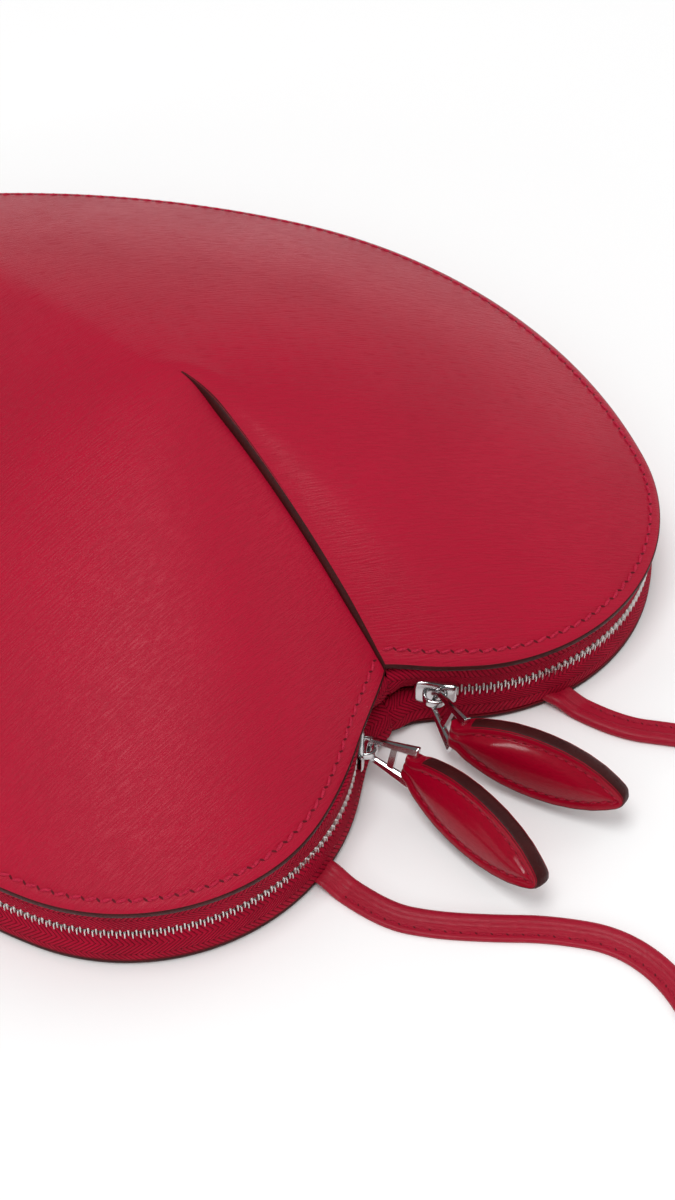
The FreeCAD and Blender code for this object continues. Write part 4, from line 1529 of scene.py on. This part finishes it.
@dataclass
class Slider:
    """Slider and its bail on one side: small bright castings."""

    side: Side
    face: float = 1.6 * MM
    wall: float = 0.9 * MM
    end_round: float = 0.7 * MM
    end_cut: float = 0.97
    end_narrow: float = 0.14
    plate_rings: int = 33
    post_root: float = 0.2 * MM
    bail_half: float = 2.65 * MM
    bail_rise: float = 2.95 * MM
    bail_wall: float = 1.1 * MM
    bail_width: float = 2.3 * MM
    bail_root: float = 0.1 * MM
    arch_power: float = 2 / 2.6
    bar_power: float = 0.6
    bail_rings: int = 29
    bail_sides: int = 16

    def axes(self) -> tuple[Array, Array]:
        """Slider's middle on the chain, and its directions: along the chain, outwards and up.

        Returns:
            The place and the three rows.
        """
        x, y, radius = wall_line(TAPE / 2).arcs()[0, :3]
        angle = math.radians(-SLIDER_ANGLE)
        out = np.array([math.cos(angle), math.sin(angle), 0.0])
        rows = np.stack([np.cross(UP, out), out, UP])
        flip = np.array([self.side.value, 1.0, 1.0])
        return (np.array([x, y, RIM / 2]) + radius * out) * flip, rows * flip

    def casting(self, sign: int) -> Array:
        """Rings of one plate with its two flanges: a channel section carried along, its ends rounded off.

        The plates are widest near the mouth, waisted, and narrow at the rear.

        Args:
            sign: 1 for the outer plate and -1 for the inner.

        Returns:
            Points by ring, in the slider's own directions.
        """
        along = np.sin(np.linspace(-math.pi / 2, math.pi / 2, self.plate_rings)) * SLIDER_LENGTH / 2
        end = (np.abs(along) - SLIDER_LENGTH / 2 + self.end_round) / self.end_round
        end = np.sqrt(1 - np.clip(end, 0, self.end_cut) ** 2)[:, None]
        half = np.interp(along, *SLIDER_PLATE.T)[:, None] * (1 - self.end_narrow + self.end_narrow * end)
        outer, share, rise = SLIDER_CHANNEL.T
        middle = self.face + self.wall / 2
        out = sign * (middle + (outer * MM - middle) * end)
        return np.stack([np.broadcast_to(along[:, None], out.shape), out, half * share + rise * MM], axis=-1)

    def post(self) -> Array:
        """Rings of the post, from plate to plate.

        Returns:
            Points by ring, in the slider's own directions.
        """
        ends = np.array([-1.0, 1.0])[:, None] * (self.face + self.post_root)
        return np.stack(np.broadcast_arrays(SLIDER_POST[:, 0], ends, SLIDER_POST[:, 1]), axis=-1)

    def bail(self) -> Array:
        """Rings of the bail: a round-sided bar carried over a flat arch, both drawn by powers of sine and cosine.

        Returns:
            Points by ring, in the slider's own directions.
        """
        angle = np.linspace(0, math.pi, self.bail_rings)
        x = -signed_power(np.cos(angle), self.arch_power) * self.bail_half
        out = self.face + self.wall - self.bail_root + np.abs(np.sin(angle)) ** self.arch_power * self.bail_rise
        path = np.stack([x, out], axis=-1)
        run = unit(np.gradient(path, axis=0))
        normal = np.stack([run[:, 1], -run[:, 0]], axis=-1)
        turn = round_angles(self.bail_sides)
        thick = signed_power(np.cos(turn), self.bar_power) * self.bail_wall / 2
        wide = signed_power(np.sin(turn), self.bar_power) * self.bail_width / 2
        return level(path[:, None] + normal[:, None] * thick[:, None], wide)

    def build(self, finishes: Finishes) -> None:
        """Makes the slider's two plates with the post between them, and the bail.

        Args:
            finishes: the purse's finishes.
        """
        origin, rows = self.axes()
        word, body = self.side.word, self.side.word + "_slider"
        shapes = {"outer_plate": self.casting(1), "inner_plate": self.casting(-1), "post": self.post()}
        for shape, rings in shapes.items():
            piece = tube(f"slider_{word}_{shape}", origin + rings @ rows, sharp=35.0)
            dress(piece, finishes.chrome, body, "bright_metal", "slider_" + word)
        piece = tube(f"bail_{word}_arch", origin + self.bail() @ rows, sharp=50.0)
        dress(piece, finishes.chrome, body, "bright_metal", "bail_" + word)


@dataclass
class Pull:
    """Pull on one slider's bail: an open trapezium with a bar across it."""

    side: Side
    headings: tuple[float, float] = (-105.0, -72.0)
    roll: float = 25.0
    length: float = 12 * MM
    halves: tuple[float, float] = (2.15 * MM, 4.5 * MM)
    rail: float = 2.9 * MM
    eye: float = 1.15 * MM
    corners: tuple[float, float] = (1.9 * MM, 0.6 * MM)
    inner_corner: float = 0.15
    thickness: float = 2.0 * MM
    cross_at: float = 0.54
    cross_width: float = 1.7 * MM
    cross_thickness: float = 1.2 * MM
    cross_root: float = 0.3 * MM

    def rings(self) -> Array:
        """Rings of the frame: a bevelled section from a trapezium's outer loop to its inner, thicker with length.

        Returns:
            Points by ring, in metres.
        """
        near, wide_end = self.halves
        signs = np.array([(0, -1), (1, -1), (1, 1), (0, 1)])
        far = signs[:, :1] > 0
        half = np.where(far, self.rail, self.eye) / 2
        middle = signs * np.where(far, [self.length, wide_end], [self.length, near])
        apart = np.concatenate([(signs[:, :1] * 2 - 1) * self.eye / 2, signs[:, 1:] * half], axis=1)
        corner = np.where(far, self.corners[1], self.corners[0])
        outer = rounded_loop(middle + apart, corner)
        inner = rounded_loop(middle - apart, corner * self.inner_corner)
        ring = outer[:, None] + (inner - outer)[:, None] * PULL_BEVEL[:, :1]
        share = np.clip((outer + inner)[:, :1] / 2 / self.length, 0, 1)
        thick = self.eye + (self.thickness - self.eye) * share
        return self.hung(level(ring, PULL_BEVEL[:, 1] * thick))

    def crossbar(self) -> Array:
        """Rings of the bar across the frame: a rectangle carried from one rail to the other.

        Returns:
            Points by ring, in metres.
        """
        inner = np.array(self.halves) - np.array([self.eye, self.rail]) / 2
        reach = inner[0] + (inner[1] - inner[0]) * self.cross_at + self.cross_root
        square = np.array([(-1, -1), (1, -1), (1, 1), (-1, 1)]) / 2
        along = self.cross_at * self.length + square[:, 0] * self.cross_width
        corners = np.stack([along, 0 * along, square[:, 1] * self.cross_thickness], axis=-1)
        return self.hung(corners + np.array([-1.0, 1.0])[:, None, None] * np.array([0, reach, 0]))

    def hung(self, points: Array) -> Array:
        """Points of the pull's own leaf, moved to its joint, heading and roll."""
        axes = rolled_axes(self.side.pick(self.headings), self.roll)
        return joint_place(self.side.word + "_pull_swing") + points @ axes

    def build(self, finishes: Finishes) -> None:
        """Makes the frame and the bar across it.

        Args:
            finishes: the purse's finishes.
        """
        name, body = "pull_" + self.side.word, self.side.word + "_pull"
        piece = tube(name + "_frame", self.rings(), closed=True, sharp=30.0)
        dress(piece, finishes.chrome, body, "bright_metal", name)
        dress(tube(name + "_crossbar", self.crossbar(), sharp=30.0), finishes.chrome, body, "bright_metal")


@dataclass
class Drop:
    """Stitched leather drop on a pull: two padded leaves round a core, folded at the neck over the pull's bar."""

    side: Side
    headings: tuple[float, float] = (-68.0, -90.0)
    roll: float = 18.0
    length: float = 43.5 * MM
    fold: float = 2.4 * MM
    padding: float = 1.0 * MM
    groove: float = 0.34 * MM
    groove_width: float = 0.45 * MM
    edge_fall: float = 0.22 * MM
    edge_reach: float = 0.25 * MM
    swell_reach: float = 4 * MM
    seam_row: int = 6
    sewn_from: float = 2.8 * MM
    pitch: float = 2.6 * MM
    stitch: Stitch = Stitch(length=2.1 * MM, width=0.6 * MM, height=0.42 * MM, slant=10.0, hole_length=1.0 * MM,
                            hole_width=0.36 * MM)
    bead: EdgeBead = EdgeBead(lap=0.5 * MM, bulge=0.4 * MM)
    smoothing: int = 24
    fine_points: int = 400
    edge_points: int = 90
    inner_rows: int = 9
    least_turn: float = 0.05
    room_share: float = 0.85

    def outline(self) -> Array:
        """Edge of the leaf from one end of the fold round the tip to the other, in even steps.

        The half width has a narrow neck, round shoulders, a full belly and a blunt tip, smoothed between its values.

        Returns:
            Pairs of distance from the bar and place across.
        """
        along = self.length - (self.length + self.fold) * np.linspace(1, 0, self.fine_points) ** 2
        half = np.interp(along, *DROP_OUTLINE.T)
        for _ in range(self.smoothing):
            half[1:-1] = (half[:-2] + 2 * half[1:-1] + half[2:]) / 4
        edge = np.stack([along, -half], axis=-1)
        length = run_length(edge)
        edge = along_path(np.linspace(0, length[-1], self.edge_points), length, edge)
        return np.concatenate([edge, (edge * np.array([1.0, -1.0]))[-2::-1]])

    def leaf(self) -> tuple[Array, Array]:
        """Face of the leaf: rows that step in from the edge, then close on the middle line.

        The height over the core's middle falls a little to the edge, dips at the seam and swells inside it, and
        follows half a circle over the fold.

        Returns:
            Points by row and by place along the edge, and the edge's outward directions.
        """
        edge = self.outline()
        run = unit(np.gradient(edge, axis=0))
        outward = np.stack([run[:, 1], -run[:, 0]], axis=-1)
        outward[[0, -1]] = [(0.0, -1.0), (0.0, 1.0)]
        room = np.abs(edge[:, 1]) / np.maximum(np.abs(outward[:, 1]), self.least_turn)
        room[len(room) // 2] = room[len(room) // 2 - 1]
        held = np.minimum(1, self.room_share * room / DROP_STEPS[-1])
        rows = edge - outward * (DROP_STEPS[:, None] * held)[..., None]
        dip = self.groove * np.exp(-((DROP_STEPS - DROP_STEPS[self.seam_row]) / self.groove_width) ** 2)
        tall = self.fold - dip - self.edge_fall * np.exp(-DROP_STEPS / self.edge_reach)
        inner = np.linspace(1, 0, self.inner_rows)[1:]
        swell = self.padding * np.minimum(1, np.abs(rows[-1, :, 1]) / self.swell_reach) * (1 - inner[:, None] ** 2)
        height = np.concatenate([tall[:, None] + 0 * held, tall[-1] + swell])
        rows = np.concatenate([rows, rows[-1] * np.stack([np.ones_like(inner), inner], axis=-1)[:, None]])
        over = np.sqrt(np.clip(1 - (np.minimum(rows[..., 0], 0) / self.fold) ** 2, 0, 1))
        return level(rows, height * over), level(outward, 0.0)

    def build(self, finishes: Finishes) -> None:
        """Makes the padded drop, its painted edge and its stitches on both faces.

        Args:
            finishes: the purse's finishes.
        """
        word = self.side.word
        name, body = "drop_" + word, word + "_drop"
        origin, axes = joint_place(body + "_swing"), rolled_axes(self.side.pick(self.headings), self.roll)
        face, outward = self.leaf()
        back = face * np.array([1.0, 1.0, -1.0])
        rows = np.concatenate([back[::-1], face])
        faces = grid_faces(*rows.shape[:2])
        piece = add_piece(name + "_leather", origin + rows @ axes, faces, rows[..., :2], sharp=50.0)
        dress(piece, finishes.drop, body, "drop_leather", "drop_leather_" + word)
        sewn = face[0, :, 0] > self.sewn_from
        top, under = (origin + side[1][sewn] @ axes for side in (face, back))
        edge = self.bead.build(name + "_edge_paint", top, under, outward[sewn] @ axes)
        dress(edge, finishes.edge, body, "edge", "drop_core_" + word)
        for part, side, sign in (("face", face, 1), ("back", back, -1)):
            path = origin + side[self.seam_row][sewn] @ axes
            upward = np.broadcast_to(sign * axes[2], path.shape)
            self.stitch.sew(f"{name}_{part}_stitch", path, upward, self.pitch, finishes.drop_thread, finishes.hole,
                            body, "drop_leather")


# Strap

# Control points of the strap's loop on the floor, from the right tab to the left
STRAP_LOOP = np.array([(53, -80.5), (64, -95), (78, -112), (95, -134), (110, -164), (115, -200), (105, -234),
                       (80, -259), (46, -268), (13, -260), (-12, -237), (-22, -206), (-18, -174), (-7, -149),
                       (1.5, -130), (0.5, -113), (-9.5, -99.5), (-20, -89.8), (-29.3, -80.2)]) * MM

# Section of the strap, across and up: flat below, a rolled edge on one side and a thin margin on the other
STRAP_SECTION = np.array([(-3.1, -0.9), (0, -0.9), (3.3, -0.9), (3.5, -0.7), (3.5, 0.02), (3.3, 0.26), (2.6, 0.3),
                          (2.1, 0.18), (1.7, 0.18), (1.2, 0.3), (0.3, 0.34), (-0.2, 0.42), (-0.65, 0.75),
                          (-1.2, 1.03), (-1.9, 1.16), (-2.6, 1.05), (-3.15, 0.7), (-3.45, 0.1), (-3.45, -0.5)]) * MM


@dataclass
class Strap:
    """Narrow shoulder strap: free on the floor between the two tabs sewn in at the lobes."""

    width: float = 7 * MM
    thickness: float = 1.8 * MM
    length: float = 0.525
    tab_angle: float = 104.0
    headings: tuple[float, float] = (-74.0, -80.0)
    tail: float = 5 * MM
    reach: float = 10 * MM
    lead: float = 10 * MM
    seam: float = 1.9 * MM
    pitch: float = 3.6 * MM
    stitch: Stitch = Stitch(length=2.4 * MM, width=0.6 * MM, height=0.3 * MM, slant=0.0, hole_length=0.8 * MM,
                            hole_width=0.34 * MM)
    stitch_lift: float = 0.2 * MM
    step_from: float = 2.6 * MM
    step_run: float = 6.8 * MM
    tab_rings: int = 40
    resolution: int = 16
    order: int = 3

    def route(self) -> Array:
        """Control points of the free stretch on the floor, from the right tab to the left.

        Returns:
            The points.
        """
        leaving = np.array([self.reach, self.reach + self.lead])
        right, left = self.tab_points(Side.RIGHT, leaving), self.tab_points(Side.LEFT, leaving[::-1])
        return level(np.concatenate([right, STRAP_LOOP, left]), self.thickness / 2)

    def tab_points(self, side: Side, distance: Array) -> Array:
        """Ground points on a tab's line.

        Args:
            side: which half.
            distance: distances from the tape's face.

        Returns:
            The points.
        """
        x, y, radius = wall_line().arcs()[0, :3]
        angle = math.radians(-self.tab_angle)
        foot = np.array([side.value * (x + radius * math.cos(angle)), y + radius * math.sin(angle)])
        way = math.radians(side.pick(self.headings))
        return foot + distance[:, None] * np.array([math.cos(way), math.sin(way)])

    def centreline(self) -> Array:
        """Points read from the route's spline.

        Returns:
            The points, in order.
        """
        curve = bpy.data.curves.new("strap_route", "CURVE")
        curve.dimensions = "3D"
        curve.resolution_u = self.resolution
        spline = curve.splines.new("NURBS")
        route = self.route()
        spline.points.add(len(route) - 1)
        spline.points.foreach_set("co", np.concatenate([route, np.ones((len(route), 1))], axis=1).ravel())
        spline.order_u = self.order
        spline.use_endpoint_u = True
        carrier = bpy.data.objects.new("strap_route", curve)
        mesh = bpy.data.meshes.new_from_object(carrier)
        flat = np.empty(len(mesh.vertices) * 3)
        mesh.vertices.foreach_get("co", flat)
        bpy.data.objects.remove(carrier)
        bpy.data.curves.remove(curve)
        bpy.data.meshes.remove(mesh)
        return flat.reshape(-1, 3)

    def build(self, finishes: Finishes) -> None:
        """Makes the free strap and the two tabs.

        Args:
            finishes: the purse's finishes.
        """
        path = self.centreline()
        across = np.cross(UP, unit(np.gradient(path, axis=0)))
        rings = path[:, None] + across[:, None] * STRAP_SECTION[:, :1] + UP * STRAP_SECTION[:, 1:]
        strap = tube("shoulder_strap", rings, sharp=60.0)
        dress(strap, finishes.strap, "bag", "strap_leather", "strap")
        seam = path + across * self.seam + UP * self.stitch_lift
        self.stitch.sew("strap_stitch", seam, np.broadcast_to(UP, seam.shape), self.pitch, finishes.drop_thread,
                        finishes.hole, "bag", "strap_leather")
        for side in Side:
            self.tab(side, finishes)

    def tab(self, side: Side, finishes: Finishes) -> None:
        """Sewn end: level over the back's edge, then down to the floor in a smooth step.

        Args:
            side: which half.
            finishes: the purse's finishes.
        """
        distance = np.linspace(-self.tail, self.reach, self.tab_rings)
        lift = LEATHER * (1 - smooth((distance - self.step_from) / self.step_run))
        path = level(self.tab_points(side, distance), lift + self.thickness / 2)
        along = unit(np.gradient(path, axis=0))
        across = unit(np.cross(UP, along))
        up = np.cross(along, across)
        aside, above = STRAP_SECTION[:, :1] * side.value, STRAP_SECTION[:, 1:]
        rings = path[:, None] + across[:, None] * aside + up[:, None] * above
        name = "strap_tab_" + side.word
        dress(tube(name + "_leather", rings, sharp=60.0), finishes.strap, "bag", "strap_leather", name)


# Studio

@dataclass(frozen=True)
class Lamp:
    """Square soft light, turned to the purse: its place and side in metres and its power in watts."""

    name: str
    place: tuple[float, float, float]
    size: float
    power: float

    def build(self) -> None:
        """Hangs the light."""
        data = bpy.data.lights.new(self.name, "AREA")
        data.size, data.energy = self.size, self.power
        light = bpy.data.objects.new(self.name, data)
        light.location = self.place
        light.rotation_mode = "QUATERNION"
        light.rotation_quaternion = (-Vector(self.place)).to_track_quat("-Z", "Y")
        bpy.context.scene.collection.objects.link(light)


@dataclass
class Studio:
    """Floor, soft lights and the camera at the photograph's angle."""

    elevation: float = 50.0871
    yaw: float = -41.9982
    lens: float = 63.647
    distance: float = 0.529
    target: tuple[float, float, float] = (8.262 * MM, -5.439 * MM, 22 * MM)
    floor: float = 3.0
    floor_tone: float = 0.99
    sky: float = 0.66
    room: float = 0.1
    clip: tuple[float, float] = (0.01, 50.0)
    floor_drop: float = 0.02 * MM
    floor_tiles: int = 9
    floor_drift: float = 0.4
    floor_rough: tuple[float, float] = (0.1, 0.8)
    lamps: tuple[Lamp, ...] = (Lamp("key_light", (-0.25, -0.05, 1.3), 0.6, 6.7),
                               Lamp("side_light", (1.5, -0.15, 0.9), 1.2, 3.0),
                               Lamp("spark_light", (-1.2, -0.19, 0.42), 0.14, 1.3))

    def camera(self) -> None:
        """Camera that looks at the target from an elevation and a yaw about Z."""
        e, a = math.radians(self.elevation), math.radians(self.yaw)
        back = Vector((math.sin(a) * math.cos(e), -math.cos(a) * math.cos(e), math.sin(e)))
        right = Vector((math.cos(a), math.sin(a), 0))
        up = back.cross(right)
        data = bpy.data.cameras.new("photo_camera")
        data.lens = self.lens
        camera = bpy.data.objects.new("photo_camera", data)
        turn = Matrix((right, up, back)).transposed().to_4x4()
        camera.matrix_world = Matrix.Translation(Vector(self.target) + back * self.distance) @ turn
        data.clip_start, data.clip_end = self.clip
        bpy.context.scene.collection.objects.link(camera)
        bpy.context.scene.camera = camera

    def ground(self) -> None:
        """Pale floor, a wide flat square."""
        reach = np.linspace(-self.floor / 2, self.floor / 2, self.floor_tiles)
        points = level(np.stack(np.meshgrid(reach, reach), axis=-1), -self.floor_drop)
        floor = add_piece("studio_floor", points, grid_faces(self.floor_tiles, self.floor_tiles))
        material, g, shader = start_material("floor_paper")
        drift = g.use(Effects.drift(), Vector=laid_on(g, Pattern.OBJECT), Size=self.floor_drift)
        g.put(shader.inputs["Roughness"], g.scaled(drift.outputs["Share"], *self.floor_rough))
        g.put(shader.inputs["Base Color"], (self.floor_tone,) * 3)
        floor.data.materials.append(material)

    def sky_light(self) -> None:
        """White backdrop to the camera, an even light to plain surfaces and a dark room to glossy ones."""
        world = bpy.data.worlds.new("studio_world")
        bpy.context.scene.world = world
        world.use_nodes = True
        world.cycles.sampling_method = "NONE"
        world.node_tree.nodes.clear()
        g = Graph(world.node_tree)
        path = g.add("LightPath")
        seen = g.math("MAXIMUM", path.outputs["Is Camera Ray"], path.outputs["Is Transmission Ray"])
        strength = g.math("MULTIPLY_ADD", seen, 1.0 - self.sky, self.sky)
        dark = g.math("MULTIPLY", path.outputs["Is Glossy Ray"], self.sky - self.room)
        strength = g.math("SUBTRACT", strength, dark)
        g.add("OutputWorld", Surface=g.add("Background", Color=(1.0, 1.0, 1.0), Strength=strength).outputs[0])

    def build(self) -> None:
        """Sets the stage."""
        bpy.context.scene.view_settings.view_transform = "Standard"
        self.camera()
        self.ground()
        self.sky_light()
        for lamp in self.lamps:
            lamp.build()


def main() -> None:
    """Builds the studio and every sub-assembly."""
    logging.basicConfig(level=logging.INFO, format="%(name)s %(message)s")
    Studio().build()
    finishes = Finishes()
    Strap().build(finishes)
    FrontPanel().build(finishes)
    BackPanel().build(finishes)
    Zip().build(finishes)
    for side in Side:
        Slider(side).build(finishes)
        Pull(side).build(finishes)
        Drop(side).build(finishes)


if __name__ == "__main__":
    main()
